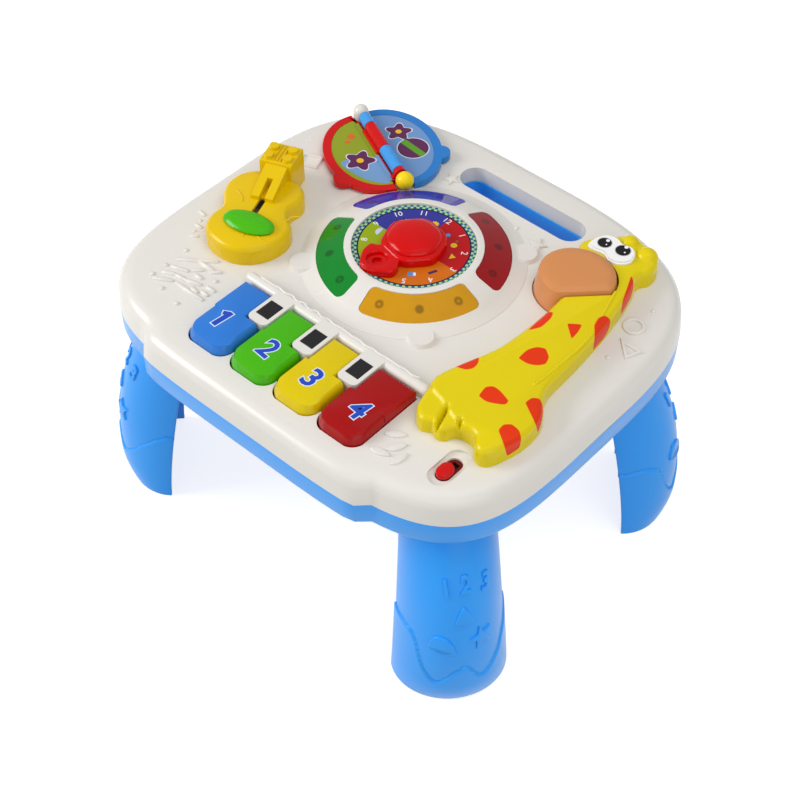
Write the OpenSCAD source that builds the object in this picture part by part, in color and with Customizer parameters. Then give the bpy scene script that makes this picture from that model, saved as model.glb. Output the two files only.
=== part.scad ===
// Musical activity table for a small child: a two-part plastic top on four curved legs, with
// piano keys, a guitar slider, a drum book of two hinged leaves, a clock pointer and a giraffe.
// Millimetres, +Z up. The origin is on the floor, under the centre of the top. +X runs along
// the piano from the child's left to right, +Y from the piano to the carrying slot.

/* [Table top] */
// Width of the top along the piano
top_w = 328; // [322:1:340]
// Depth of the top, with the piano bay
top_d = 292; // [286:1:304]
// Height of the playing surface above the floor
top_z = 186; // [176:1:200]
// Height of the white shell's side, from the seam to the playing surface
lip_h = 21; // [20:0.5:24]
// Height of the blue shell's side, from its underside to the seam
band_h = 17; // [16:0.5:20]
// Wall thickness of both shells
shell_t = 2.5; // [2:0.1:3]
// Rounding of the upper edge
edge_r = 9; // [5:0.5:11]
// How far the piano bay stands out of the front
bay_out = 7; // [5:0.5:9]
// Half the width of the piano bay
bay_half = 92; // [88:0.5:96]
// Squareness of the front corners, 2 is an ellipse
corner_front = 4.5; // [4:0.1:5]
// Squareness of the back corners
corner_back = 3.3; // [3.1:0.1:5]

/* [Legs] */
// Foot centre to the side edge of the top
leg_inset_x = 33.5; // [32:0.5:40]
// Foot centre to the front edge of the top
leg_inset_front = 46; // [44:0.5:50]
// Foot centre to the back edge of the top
leg_inset_back = 59; // [56:0.5:64]
// Direction that a leg bows out in, from the X axis
leg_splay = 40; // [35:1:48]
// Half the width of a foot
foot_half_w = 38.5; // [34:0.5:42]
// How far a leg bows out of its foot centre
leg_bow = 37.5; // [33:0.5:40]
// Wall thickness of a leg
leg_t = 2.6; // [2:0.1:3.2]

/* [Piano] */
// Distance from one key to the next
key_pitch = 36.6; // [36.2:0.1:37.2]
// Gap between two keys
key_gap = 3; // [2.4:0.1:3.6]
// Length of a key, front to back
key_len = 55; // [52:0.5:58]
// Middle of the row of keys, in X
piano_x = 2.7; // [2:0.1:4]
// Front ends of the keys, from the front edge of the top
key_front = 20.2; // [19:0.2:22]
// Height of the keys above the playing surface
key_rise = 7; // [5:0.5:9]
// Width of the white block between two keys
block_w = 15.4; // [14.5:0.1:16]
// Distance from one white block to the next
block_pitch = 37.8; // [37.4:0.1:38.2]
// How far a key tips when pressed, in degrees
key_tip = 4; // [2:0.5:4]
// Radius of the steel rod that the keys tip on
axle_r = 1.5; // [1.2:0.1:1.8]

/* [Clock dial] */
// Dial centre, in X
dial_x = -7.6; // [-9:0.1:-6]
// Dial centre, in Y
dial_y = 20.1; // [19:0.1:21]
// Outer radius of the dome under the dial
dome_r = 71; // [69:0.5:72]
// Height of the dome's rim above the playing surface
dome_h = 12.8; // [12:0.2:15]
// Width of the dome outside the light windows
lens_rim = 7.6; // [7:0.1:9]
// Width of a light window
lens_w = 18.1; // [15:0.1:18.6]
// Width of the rim between the dial and the light windows
dial_rim = 5; // [4.5:0.1:6]
// Angle that one light window covers
lens_span = 77; // [60:1:78]
// Radius of the pointer's knob
knob_r = 21.5; // [18:0.5:22]
// Gap from the pointer's tip to the edge of the dial
pointer_gap = 0.7; // [0.7:0.1:4]
// Radius of the pointer's shaft
shaft_r = 4; // [3:0.1:5]

/* [Drum book] */
// Drum centre to the left edge of the top
drum_inset_x = 70.3; // [68:0.1:71]
// Drum centre to the back edge of the top
drum_inset_y = 61.2; // [59:0.1:62]
// Half the drum's length along the hinge
drum_half_l = 42.8; // [41:0.2:43.4]
// Half the drum's width across the hinge
drum_half_w = 40.5; // [38:0.5:42]
// Thickness of a leaf
leaf_t = 4.7; // [4:0.1:5]
// Radius of the hinge barrels
barrel_r = 4.3; // [4:0.1:4.6]
// Radius of the hinge pin
pin_r = 1.8; // [1.5:0.1:2]
// Height of the platform under the leaves
platform_h = 1; // [0.8:0.1:1.6]
// Height of the hinge pin above the leaves
hinge_rise = 3; // [2.6:0.1:3.4]

/* [Guitar] */
// Centre of the guitar's lower half to the left edge of the top
guitar_inset_x = 63; // [61:0.5:65]
// Centre of the guitar's lower half to the front edge of the top
guitar_inset_y = 108; // [107:0.5:110]
// Turn of the guitar, in degrees
guitar_turn = 21; // [18:1:24]
// Height of the guitar's body
guitar_h = 14; // [12:0.5:16]
// How far the strumming slider travels
strum_travel = 12; // [8:0.5:12]

/* [Giraffe] */
// Height of the giraffe's body
giraffe_h = 14; // [12:0.5:16]
// Nose button centre to the right edge of the top
nose_inset_x = 75; // [74.5:0.1:75.5]
// Nose button centre to the back edge of the top
nose_inset_y = 80.5; // [80:0.1:81]
// Half the nose button's length
nose_half_l = 25.3; // [24.5:0.1:25.6]
// Half the nose button's width
nose_half_w = 23; // [22:0.1:23.4]
// Height of the nose button above the playing surface
nose_rise = 18.5; // [17:0.5:20]
// How far the nose button travels
nose_travel = 4; // [2:0.5:4.5]

/* [Carrying slot and switch] */
// Slot centre, in X
slot_x = 10; // [8:0.5:12]
// Slot centre to the back edge of the top
slot_inset = 36.5; // [35:0.5:37]
// Length of the carrying slot
slot_l = 102; // [92:1:104]
// Width of the carrying slot
slot_w = 22; // [20:0.5:22.5]
// Switch centre to the right edge of the top
switch_inset_x = 40.5; // [39:0.5:43]
// Switch centre to the front edge of the top
switch_inset_y = 48; // [45:0.5:50]
// How far the power switch travels
switch_travel = 7; // [5:0.5:8]

/* [Inside] */
// Diameter of a battery cell
cell_d = 14.5; // [14:0.1:15]
// Length of a battery cell
cell_l = 50.5; // [49:0.5:51]
// Number of battery cells
cell_count = 3; // [2:1:3]
// Diameter of the loudspeaker
speaker_d = 50; // [40:1:54]
// Height of the loudspeaker
speaker_h = 16; // [12:0.5:18]
// Thickness of the circuit boards
board_t = 1.6; // [1:0.1:2]
// Shank radius of the screws
screw_r = 1.5; // [1.2:0.1:1.8]

/* [Clearances] */
// Gap around pieces that move past each other
run_gap = 0.6; // [0.4:0.1:1]
// Gap round a shaft that turns in a bore
bore_gap = 0.06; // [0.03:0.01:0.1]
// Gap between pieces that rest on each other without touching
seat_gap = 0.3; // [0.2:0.05:0.4]

/* [Hidden] */
$fn = 64;
HULL_FN = 32;
RING_N = 120;       // points round the outline of the top
bay_step = 7;       // length of the step at each end of the piano bay
LEG_N = 18;         // steps round the half oval of a leg
LEG_RINGS = 12;     // steps up a leg

seam_z = top_z - lip_h;
base_z = seam_z - band_h;
floor_z = base_z + shell_t;
ceiling_z = top_z - shell_t;
front_y = -top_d / 2;
back_y = top_d / 2;
right_x = top_w / 2;
drum_x = drum_inset_x - right_x;
drum_y = back_y - drum_inset_y;
guitar_x = guitar_inset_x - right_x;
guitar_y = front_y + guitar_inset_y;
nose_x = right_x - nose_inset_x;
nose_y = back_y - nose_inset_y;
lens_out_r = dome_r - lens_rim;
lens_in_r = lens_out_r - lens_w;
dial_r = lens_in_r - dial_rim;
pointer_len = dial_r - pointer_gap;

// ---------------------------------------------------------------- shared functions

function clamp01(v) = min(1, max(0, v));
function smooth_step(v) = let (c = clamp01(v)) c * c * (3 - 2 * c);
function signed_pow(v, e) = sign(v) * pow(abs(v), e);
function on_circle(r, a) = [r * cos(a), r * sin(a)];

// One point of the top's outline at angle a, moved inwards by d.
function table_point(a, d) =
  let (
    back = sin(a) >= 0,
    e = 2 / (back ? corner_back : corner_front),
    x = (top_w / 2 - d) * signed_pow(cos(a), e),
    y = bay_out / 2 + ((top_d - bay_out) / 2 - d) * signed_pow(sin(a), e),
    bay = back ? 0 : bay_out * smooth_step((bay_half - d - abs(x)) / bay_step + 0.5)
  )
  [x, y - bay];

function table_ring(d) = [for (i = [0 : RING_N - 1]) table_point(360 * i / RING_N, d)];

// Outward normal of a closed outline that runs counter-clockwise.
function outline_normal(p, i) =
  let (n = len(p), t = p[(i + 1) % n] - p[(i + n - 1) % n], u = t / norm(t))
  [u[1], -u[0]];

function inset_ring(p, d) = [for (i = [0 : len(p) - 1]) p[i] - d * outline_normal(p, i)];

// A smooth closed curve through the control points p, with k steps between two of them.
function curve_point(a, b, c, d, t) =
  0.5 * (2 * b + (c - a) * t + (2 * a - 5 * b + 4 * c - d) * t * t
    + (3 * b - a - 3 * c + d) * t * t * t);
function closed_curve(p, k) =
  let (n = len(p))
  [for (i = [0 : n - 1]) for (j = [0 : k - 1])
    curve_point(p[(i + n - 1) % n], p[i], p[(i + 1) % n], p[(i + 2) % n], j / k)];

// A solid through a stack of outlines: rings is a list of [z, points].
module loft(rings) {
  n = len(rings[0][1]);
  m = len(rings);
  points = [for (r = rings) for (q = r[1]) [q[0], q[1], r[0]]];
  bottom = [[for (i = [0 : n - 1]) i]];
  cap = [[for (i = [n - 1 : -1 : 0]) (m - 1) * n + i]];
  sides = [for (k = [0 : m - 2]) for (i = [0 : n - 1])
    let (a = k * n + i, b = k * n + (i + 1) % n)
    each [[a, a + n, b + n], [a, b + n, b]]];
  polyhedron(points = points, faces = concat(bottom, sides, cap));
}

// Its children, cut level at z0 and z1.
module levelled(z0, z1) {
  intersection() {
    children();
    translate([-top_w, -top_w, z0]) cube([2 * top_w, 2 * top_w, z1 - z0]);
  }
}

// A moulded slab with the outline p, from z0 to z1, with its upper edge rounded by edge.
module moulded(p, z0, z1, edge) {
  levelled(z0, z1) loft(concat(
    [[z0 - 1, p]],
    [for (a = [0, 35, 65])
      [z1 - edge + edge * sin(a), inset_ring(p, edge * (1 - cos(a)))]],
    [[z1 + 0.1 * edge, inset_ring(p, edge)]]));
}

// The same for a convex 2D child: a straight wall with an eased upper edge.
module eased_block(z0, z1, edge) {
  hull() {
    translate([0, 0, z0]) linear_extrude(z1 - edge - z0) children();
    translate([0, 0, z0]) linear_extrude(z1 - 0.3 * edge - z0) offset(delta = -0.3 * edge)
      children();
    translate([0, 0, z0]) linear_extrude(z1 - z0) offset(delta = -edge) children();
  }
}

// An upright cylinder that reaches from z0 to z1.
module pillar(at, z0, z1, r) {
  translate([at[0], at[1], z0]) cylinder(r = r, h = z1 - z0);
}

// A long hole or bar with round ends along X, centred.
module stadium(l, w) {
  square([l - w, w], center = true);
  for (s = [-1, 1]) translate([s * (l - w) / 2, 0]) circle(d = w);
}

// A pan-head screw that points up, with its head's upper face at z.
screw_head_h = 2;
screw_head_r = 2 * screw_r;
module screw(at, z, length) {
  pillar(at, z - screw_head_h, z, screw_head_r);
  pillar(at, z - screw_head_h / 2, z + length, screw_r);
}
screw_hole_r = screw_r + bore_gap;

// ---------------------------------------------------------------- places

module at_dial() { translate([dial_x, dial_y, 0]) children(); }
drum_turn = -26;
module at_drum() { translate([drum_x, drum_y, 0]) rotate(drum_turn) children(); }
module at_guitar() { translate([guitar_x, guitar_y, 0]) rotate(guitar_turn) children(); }

slot_y = back_y - slot_inset;
switch_x = right_x - switch_inset_x;
switch_y = front_y + switch_inset_y;

shell_screw_places = [
  [right_x - 15, 10], [-right_x + 15, 10],
  [75, back_y - 14], [-60, back_y - 14],
  [right_x - 62, front_y + 27], [-right_x + 62, front_y + 27]
];
boss_r = 4;

// ---------------------------------------------------------------- legs

leg_h = base_z;
leg_hip = 34.5;      // how far the top of a leg lies behind its bow
leg_low = 22;        // height of the widest part of the bow
toe_in = 5.5;        // how far the foot curls back under
leg_taper = 8.7;     // how much narrower half the leg is at its top
leg_rear = 27;       // how far the open edge moves back towards the top
leg_x = right_x - leg_inset_x;
leg_y_front = front_y + leg_inset_front;
leg_y_back = back_y - leg_inset_back;

function leg_out(z) = z > leg_low
  ? leg_bow - leg_hip * pow((z - leg_low) / (leg_h - leg_low), 2.2)
  : leg_bow - toe_in * pow((leg_low - z) / leg_low, 2);
function leg_in(z) = -1 - leg_rear * pow(max(0, z) / leg_h, 1.4);
function leg_half_w(z) = foot_half_w - leg_taper * z / leg_h;

// Half-oval section of a leg at height z, inset by d; the open side reaches back by back.
function leg_ring(z, d, back) =
  let (zc = min(max(z, 0), leg_h), r0 = leg_in(zc), depth = leg_out(zc) - r0 - d,
    w = leg_half_w(zc) - d)
  concat(
    [for (i = [0 : LEG_N]) let (a = -90 + 180 * i / LEG_N) [r0 + depth * cos(a), w * sin(a)]],
    back > 0 ? [[r0 - back, w], [r0 - back, -w]] : []);

module leg_solid(d, z0, z1, back) {
  loft([for (k = [0 : LEG_RINGS]) let (z = z0 + (z1 - z0) * k / LEG_RINGS)
    [z, leg_ring(z, d, back)]]);
}

leg_screw_places = [for (s = [-1, 1]) [-14, 15 * s]];
module at_leg(sx, y) {
  translate([sx * leg_x, y, 0])
    rotate(sx > 0 ? sign(y) * leg_splay : 180 - sign(y) * leg_splay) children();
}

// One leg: a bowed half-oval shell, open behind and below, with a closed top plate.
module leg(sx, y) {
  color("dodgerblue") at_leg(sx, y) difference() {
    leg_solid(0, 0, leg_h, 0);
    leg_solid(leg_t, -1, leg_h - leg_t, 12);
    for (p = leg_screw_places) pillar(p, leg_h - 2 * leg_t, leg_h + 1, screw_hole_r);
  }
}
module leg_front_left() { leg(-1, leg_y_front); }
module leg_front_right() { leg(1, leg_y_front); }
module leg_back_left() { leg(-1, leg_y_back); }
module leg_back_right() { leg(1, leg_y_back); }

module at_each_leg() {
  for (sx = [-1, 1]) for (y = [leg_y_front, leg_y_back]) at_leg(sx, y) children();
}
leg_boss_h = 9;
module leg_screws() {
  color("silver") at_each_leg() for (p = leg_screw_places)
    screw(p, leg_h - leg_t, leg_t + leg_boss_h - 1);
}

// ---------------------------------------------------------------- piano sizes

key_count = 4;
key_w = key_pitch - key_gap;
key_front_y = front_y + key_front;
key_back_y = key_front_y + key_len;
key_top_z = top_z + key_rise;
key_bottom_z = top_z - 6;
key_notch_len = 23.5;            // length of the narrow rear part of a key
block_shift = 3.3;               // how far the blocks stand left of the gaps between the keys
axle_y = key_back_y + 8;
axle_z = top_z - 8;
piano_half = key_count * key_pitch / 2;
block_y = key_back_y - key_notch_len / 2 + run_gap;
block_len = key_notch_len - run_gap;
function key_x(i) = piano_x + (i - (key_count - 1) / 2) * key_pitch;
function block_x(i) = piano_x - block_shift + (i - (key_count - 2) / 2) * block_pitch;
function key_left(i) = key_x(i) - key_w / 2;
function key_right(i) = key_x(i) + key_w / 2;
// the narrow rear part of a key runs between the white blocks beside it
function rear_left(i) = i == 0 ? key_left(i) : block_x(i - 1) + block_w / 2 + run_gap;
function rear_right(i) = i == key_count - 1 ? key_right(i) : block_x(i) - block_w / 2 - run_gap;
key_drop = (axle_y - key_front_y) * sin(key_tip);

// ---------------------------------------------------------------- dial sizes

rim_z = top_z + dome_h;
dial_seat_z = rim_z - 2.5;
dial_t = 1;
lens_out_z = top_z + 4.5;
lens_t = 2;
lens_gap = 0.15;
lens_mid_r = (lens_in_r + lens_out_r) / 2;

// ---------------------------------------------------------------- drum book sizes

platform_z = top_z + platform_h;
leaf_z = platform_z + seat_gap;
hinge_z = leaf_z + leaf_t + hinge_rise;
post_at = -40.5;                 // place of the post along the hinge
ball_at = 40.5;                  // place of the ball along the hinge
post_r = 5.5;
ball_r = 6.2;
barrel_ends = [-34.4, -22.7, 4.8, 29.5, 33.6];

// ---------------------------------------------------------------- nose sizes

nose_turn = 0;
nose_flare = 2.6;                // how much wider the button is at its foot
nose_flange_r = 5;               // how far the hidden flange stands out of the nose
nose_cut_a = -45;                // direction in which the giraffe's neck cuts the button
nose_cut_r = 17;                 // distance of that cut from the centre
nose_top_z = top_z + nose_rise;
nose_flange_z = ceiling_z - seat_gap;
nose_board_z = nose_flange_z - 16;
// An oval with one flat side, grown by d.
function nose_point(a, d) =
  let (q = [(nose_half_l + d) * cos(a), (nose_half_w + d) * sin(a)],
    n = on_circle(1, nose_cut_a), over = max(0, q * n - nose_cut_r - d))
  q - over * n;
function nose_outline(d) = [for (i = [0 : 47]) nose_point(7.5 * i, d)];
module at_nose() { translate([nose_x, nose_y, 0]) rotate(nose_turn) children(); }

// ---------------------------------------------------------------- switch sizes

switch_cap = [9, 12];
switch_slot_l = switch_cap[1] + switch_travel + 1;
switch_recess = 2;
module at_switch() { translate([switch_x, switch_y, 0]) rotate(90) children(); }

// ---------------------------------------------------------------- figure screws

guitar_bosses = [[0, -15], [-17, 32], [17, 32]];
giraffe_bosses = [for (q = [[21, -120.5], [43, -123.5], [23, -60.5], [23, 30.5]]) [nose_x, nose_y] + q];
figure_boss_r = 3.5;

// ---------------------------------------------------------------- shells

// White upper shell, without its openings.
module top_dish() {
  draft = 1;
  difference() {
    loft(concat(
      [[seam_z, table_ring(0)]],
      [for (a = [0, 25, 50, 70, 90])
        [top_z - edge_r + edge_r * sin(a), table_ring(draft + edge_r * (1 - cos(a)))]]));
    loft([
      [seam_z - 1, table_ring(shell_t)],
      [top_z - edge_r, table_ring(shell_t + draft)],
      [ceiling_z - edge_r / 4, table_ring(shell_t + draft + edge_r / 3)],
      [ceiling_z, table_ring(shell_t + draft + edge_r)]]);
  }
}

// The dome that carries the dial and the light windows.
module dial_dome() {
  at_dial() rotate_extrude() polygon([
    [0, dial_seat_z], [dial_r + seat_gap, dial_seat_z], [dial_r + seat_gap, rim_z],
    [lens_in_r - lens_gap, rim_z], [lens_out_r + lens_gap, lens_out_z],
    [lens_out_r + 2, lens_out_z - 1.5], [dome_r - 1.8, top_z + 1.9], [dome_r, top_z + 1],
    [dome_r + 2.4, top_z + 0.3], [dome_r + 3, ceiling_z + 1], [dome_r + 1, ceiling_z],
    [dome_r - shell_t, ceiling_z], [lens_out_r - 1, lens_out_z - shell_t],
    [lens_in_r - 1.5, rim_z - shell_t], [dial_r - 2, dial_seat_z - shell_t],
    [0, dial_seat_z - shell_t]]);
}
lobe_r = 11;
module dial_lobes() {
  for (a = [45, 225, 315]) translate([dial_x, dial_y, 0]) rotate(a)
    translate([dome_r + 1, 0, ceiling_z]) cylinder(r1 = lobe_r, r2 = lobe_r - 3, h = 5);
}

lens_corner_r = 4.5;
// Points on an arc round c, without the first.
function arc(c, r, a0, a1, n) = [for (i = [1 : n]) c + on_circle(r, a0 + (a1 - a0) * i / n)];
// Outline of a light window, a piece of a ring with rounded corners, shrunk by gap.
function lens_outline(gap) =
  let (
    c = lens_corner_r - gap,
    r0 = lens_in_r + gap,
    r1 = lens_out_r - gap,
    half_a = lens_span / 2 - asin(gap / r0),
    inner_a = half_a - asin(c / (r0 + c)),
    outer_a = half_a - asin(c / (r1 - c))
  )
  concat(
    arc([0, 0], r1, -outer_a, outer_a, 16),
    arc(on_circle(r1 - c, outer_a), c, outer_a, half_a + 90, 4),
    arc(on_circle(r0 + c, inner_a), c, half_a + 90, inner_a + 180, 4),
    arc([0, 0], r0, inner_a, -inner_a, 12),
    arc(on_circle(r0 + c, -inner_a), c, 180 - inner_a, 270 - half_a, 4),
    arc(on_circle(r1 - c, -outer_a), c, 270 - half_a, 360 - outer_a, 4));
module lens_opening(a) {
  at_dial() translate([0, 0, lens_out_z - 6]) rotate(a) linear_extrude(dome_h + 4)
    polygon(lens_outline(0));
}
module lens(a) {
  at_dial() intersection() {
    rotate_extrude() polygon([
      [lens_in_r - 1, rim_z - lens_t - 0.2], [lens_out_r + 1, lens_out_z - lens_t - 0.6],
      [lens_out_r + 1, lens_out_z - 0.6], [lens_in_r - 1, rim_z - 0.2]]);
    translate([0, 0, lens_out_z - 6]) rotate(a) linear_extrude(dome_h + 4)
      polygon(lens_outline(lens_gap));
  }
}

// Platform, post and ball seat of the drum book.
module drum_stand() {
  at_drum() {
    pillar([0, 0], ceiling_z, platform_z, drum_half_w - 5);
    pillar([post_at, 0], ceiling_z, hinge_z, post_r);
    translate([post_at, 0, hinge_z]) sphere(r = post_r);
    pillar([ball_at, 0], ceiling_z, hinge_z - ball_r - seat_gap, 3.2);
  }
}

// The bar behind the keys and the white blocks between them.
bar_y = key_back_y + 6.2;
bar_w = 8;
bar_top = 7.5;
module block_plan(i, gap) {
  r = 4;
  x = block_w / 2 + gap;
  y = block_y - block_len / 2 - gap;
  translate([block_x(i), 0]) polygon(concat(
    [for (a = [180 : 15 : 270]) [r - x + r * cos(a), y + r + r * sin(a)]],
    [for (a = [270 : 15 : 360]) [x - r + r * cos(a), y + r + r * sin(a)]],
    [[x, bar_y], [-x, bar_y]]));
}
module piano_frame() {
  bar_len = 2 * piano_half + 8;
  bar_axis_z = top_z + bar_top - bar_w / 2;
  translate([piano_x, bar_y, 0]) {
    translate([0, 0, ceiling_z]) linear_extrude(bar_axis_z - ceiling_z) stadium(bar_len, bar_w);
    translate([(bar_w - bar_len) / 2, 0, bar_axis_z]) rotate([0, 90, 0])
      cylinder(d = bar_w, h = bar_len - bar_w);
    for (s = [-1, 1]) translate([s * (bar_len - bar_w) / 2, 0, bar_axis_z]) sphere(d = bar_w);
  }
  for (i = [0 : key_count - 2]) translate([0, 0, ceiling_z])
    linear_extrude(key_top_z + 0.5 - ceiling_z) block_plan(i, 0);
  // ears that hold the rod under the bar
  for (s = [-1, 1]) translate([piano_x + s * (piano_half - 0.2), axle_y, axle_z - 4])
    translate([-1.5, -4, 0]) cube([3, 8, ceiling_z + 0.5 - axle_z + 4]);
}
key_hole_half = piano_half - key_gap / 2 + run_gap;
cusp_gap = 0.8;                  // from a key's rounded corner to the shell
module key_window() {
  difference() {
    translate([piano_x - key_hole_half, key_front_y - run_gap, ceiling_z - 1])
      cube([2 * key_hole_half, key_len + 2 * run_gap, shell_t + 2]);
    for (i = [0 : key_count - 2]) translate([0, 0, ceiling_z - 2]) linear_extrude(shell_t + 4)
      block_plan(i, 0);
    // the shell reaches in between the rounded fronts of the keys
    difference() {
      translate([piano_x - key_hole_half - 1, key_front_y - 2, ceiling_z - 2])
        cube([2 * key_hole_half + 2, key_corner_r + 2, shell_t + 4]);
      for (i = [0 : key_count - 1]) translate([key_x(i), key_front_y, ceiling_z - 3])
        linear_extrude(shell_t + 6) polygon(key_plan(-cusp_gap, -cusp_gap));
    }
  }
}
insert_size = [10.4, 14];
insert_t = 1.5;
module insert_pocket(i, gap) {
  translate([block_x(i), key_back_y - 9.5, key_top_z - 0.7]) linear_extrude(insert_t)
    square([insert_size[0] + 2 * gap, insert_size[1] + 2 * gap], center = true);
}

slot_wall = 2.5;
module carry_slot(gap, z0, z1) {
  translate([slot_x, slot_y, z0]) linear_extrude(z1 - z0)
    stadium(slot_l + 2 * gap, slot_w + 2 * gap);
}

module top_shell() {
  color("ivory") difference() {
    union() {
      difference() {
        top_dish();
        at_dial() translate([0, 0, seam_z]) cylinder(r = dome_r - 1, h = lip_h + 1);
      }
      dial_dome();
      dial_lobes();
      drum_stand();
      piano_frame();
      carry_slot(slot_wall, seam_z + seat_gap, top_z - 0.4);
      for (p = shell_screw_places) pillar(p, seam_z + seat_gap, ceiling_z + 0.5, boss_r);
      for (a = [0, 90, 180, 270]) at_dial() rotate(a)
        pillar([lamp_boss_r, 0], lamp_board_z + board_t, dial_seat_z - 1, 3);
      at_switch() translate([0, 0, ceiling_z - 1]) linear_extrude(shell_t)
        stadium(switch_slot_l + 14, 18);
      for (s = [-1, 1]) at_switch()
        pillar([s * switch_ear, 0], switch_body_z, ceiling_z, 3);
    }
    // the dome's skirt is cut back round the two leaves
    for (m = [0, 1]) at_drum() mirror([0, m, 0]) translate([0, 0, leaf_z - seat_gap / 2])
      linear_extrude(leaf_t + 4) polygon(half_oval(drum_half_l + leaf_clear,
        drum_half_w + leaf_clear, leaf_in - leaf_clear / 2));
    key_window();
    for (i = [0 : key_count - 2]) insert_pocket(i, 0.1);
    translate([piano_x - piano_half - 4, axle_y, axle_z]) rotate([0, 90, 0])
      cylinder(r = axle_r + bore_gap, h = 2 * piano_half + 8);
    for (a = [45, 135, 225, 315]) lens_opening(a);
    at_dial() pillar([0, 0], dial_seat_z - 2 * shell_t, rim_z, shaft_r + bore_gap);
    for (a = [0, 90, 180, 270]) at_dial() rotate(a)
      pillar([lamp_boss_r, 0], lamp_board_z, dial_seat_z - 3.5, screw_hole_r);
    at_nose() translate([0, 0, ceiling_z - 1]) linear_extrude(shell_t + 2)
      polygon(nose_outline(nose_flare + run_gap));
    carry_slot(0, seam_z - 1, top_z + 1);
    at_switch() translate([0, 0, top_z - switch_recess]) linear_extrude(switch_recess + 1)
      stadium(switch_slot_l + 11, 15);
    at_switch() translate([0, 0, ceiling_z - 3]) linear_extrude(shell_t + 3)
      stadium(switch_slot_l, switch_cap[0] + 1);
    for (s = [-1, 1]) at_switch()
      pillar([s * switch_ear, 0], switch_body_z - 1, ceiling_z - 1, screw_hole_r);
    for (p = shell_screw_places) pillar(p, seam_z, ceiling_z - 3, screw_hole_r);
    at_guitar() for (p = guitar_bosses) pillar(p, ceiling_z - 1, top_z + 1, screw_hole_r);
    for (p = giraffe_bosses) pillar(p, ceiling_z - 1, top_z + 1, screw_hole_r);
    at_drum() translate([post_at - post_r + 1.5, 0, hinge_z]) rotate([0, 90, 0])
      cylinder(r = pin_r + bore_gap, h = 2 * post_r);
  }
}

// ---------------------------------------------------------------- battery and speaker sizes

battery_x = 30;
battery_y = -30;
cell_gap = 1;
box_l = cell_l + 7;                                  // room for the cells and their contacts
box_w = cell_count * (cell_d + cell_gap) + 1;
box_h = cell_d + 3;
box_t = 1.6;
door_ledge = 2;
door_pad = 4.5;
door_t = 2.2;
cell_z = floor_z + seat_gap + cell_d / 2;
door_screw_x = box_l / 2 + 6;

speaker_x = -66;
speaker_y = 42;
grille_r = speaker_d / 2 - 6;
speaker_screw_r = speaker_d / 2 + 7;
clamp_top_z = floor_z + 7;

main_board_size = [2 * piano_half - 4, 44];
main_board_y = key_front_y + 32;
pad_y = key_front_y + 22;
pad_h = 1.2;
dome_rise = 1.4;
main_board_z = key_bottom_z - key_drop - pad_h - dome_rise - board_t + 0.5;
main_board_screws = [for (sx = [-1, 1]) for (sy = [-1, 1])
  [piano_x + sx * (main_board_size[0] / 2 - 5), main_board_y + sy * (main_board_size[1] / 2 - 9)]];

lamp_board_z = top_z - 2;
lamp_boss_r = 37;
led_r = 2.5;

switch_ear = 17;
switch_body_z = ceiling_z - 5.5;
nose_board_r = 14;
nose_boss_gap = 10;

// ---------------------------------------------------------------- bottom shell

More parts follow.
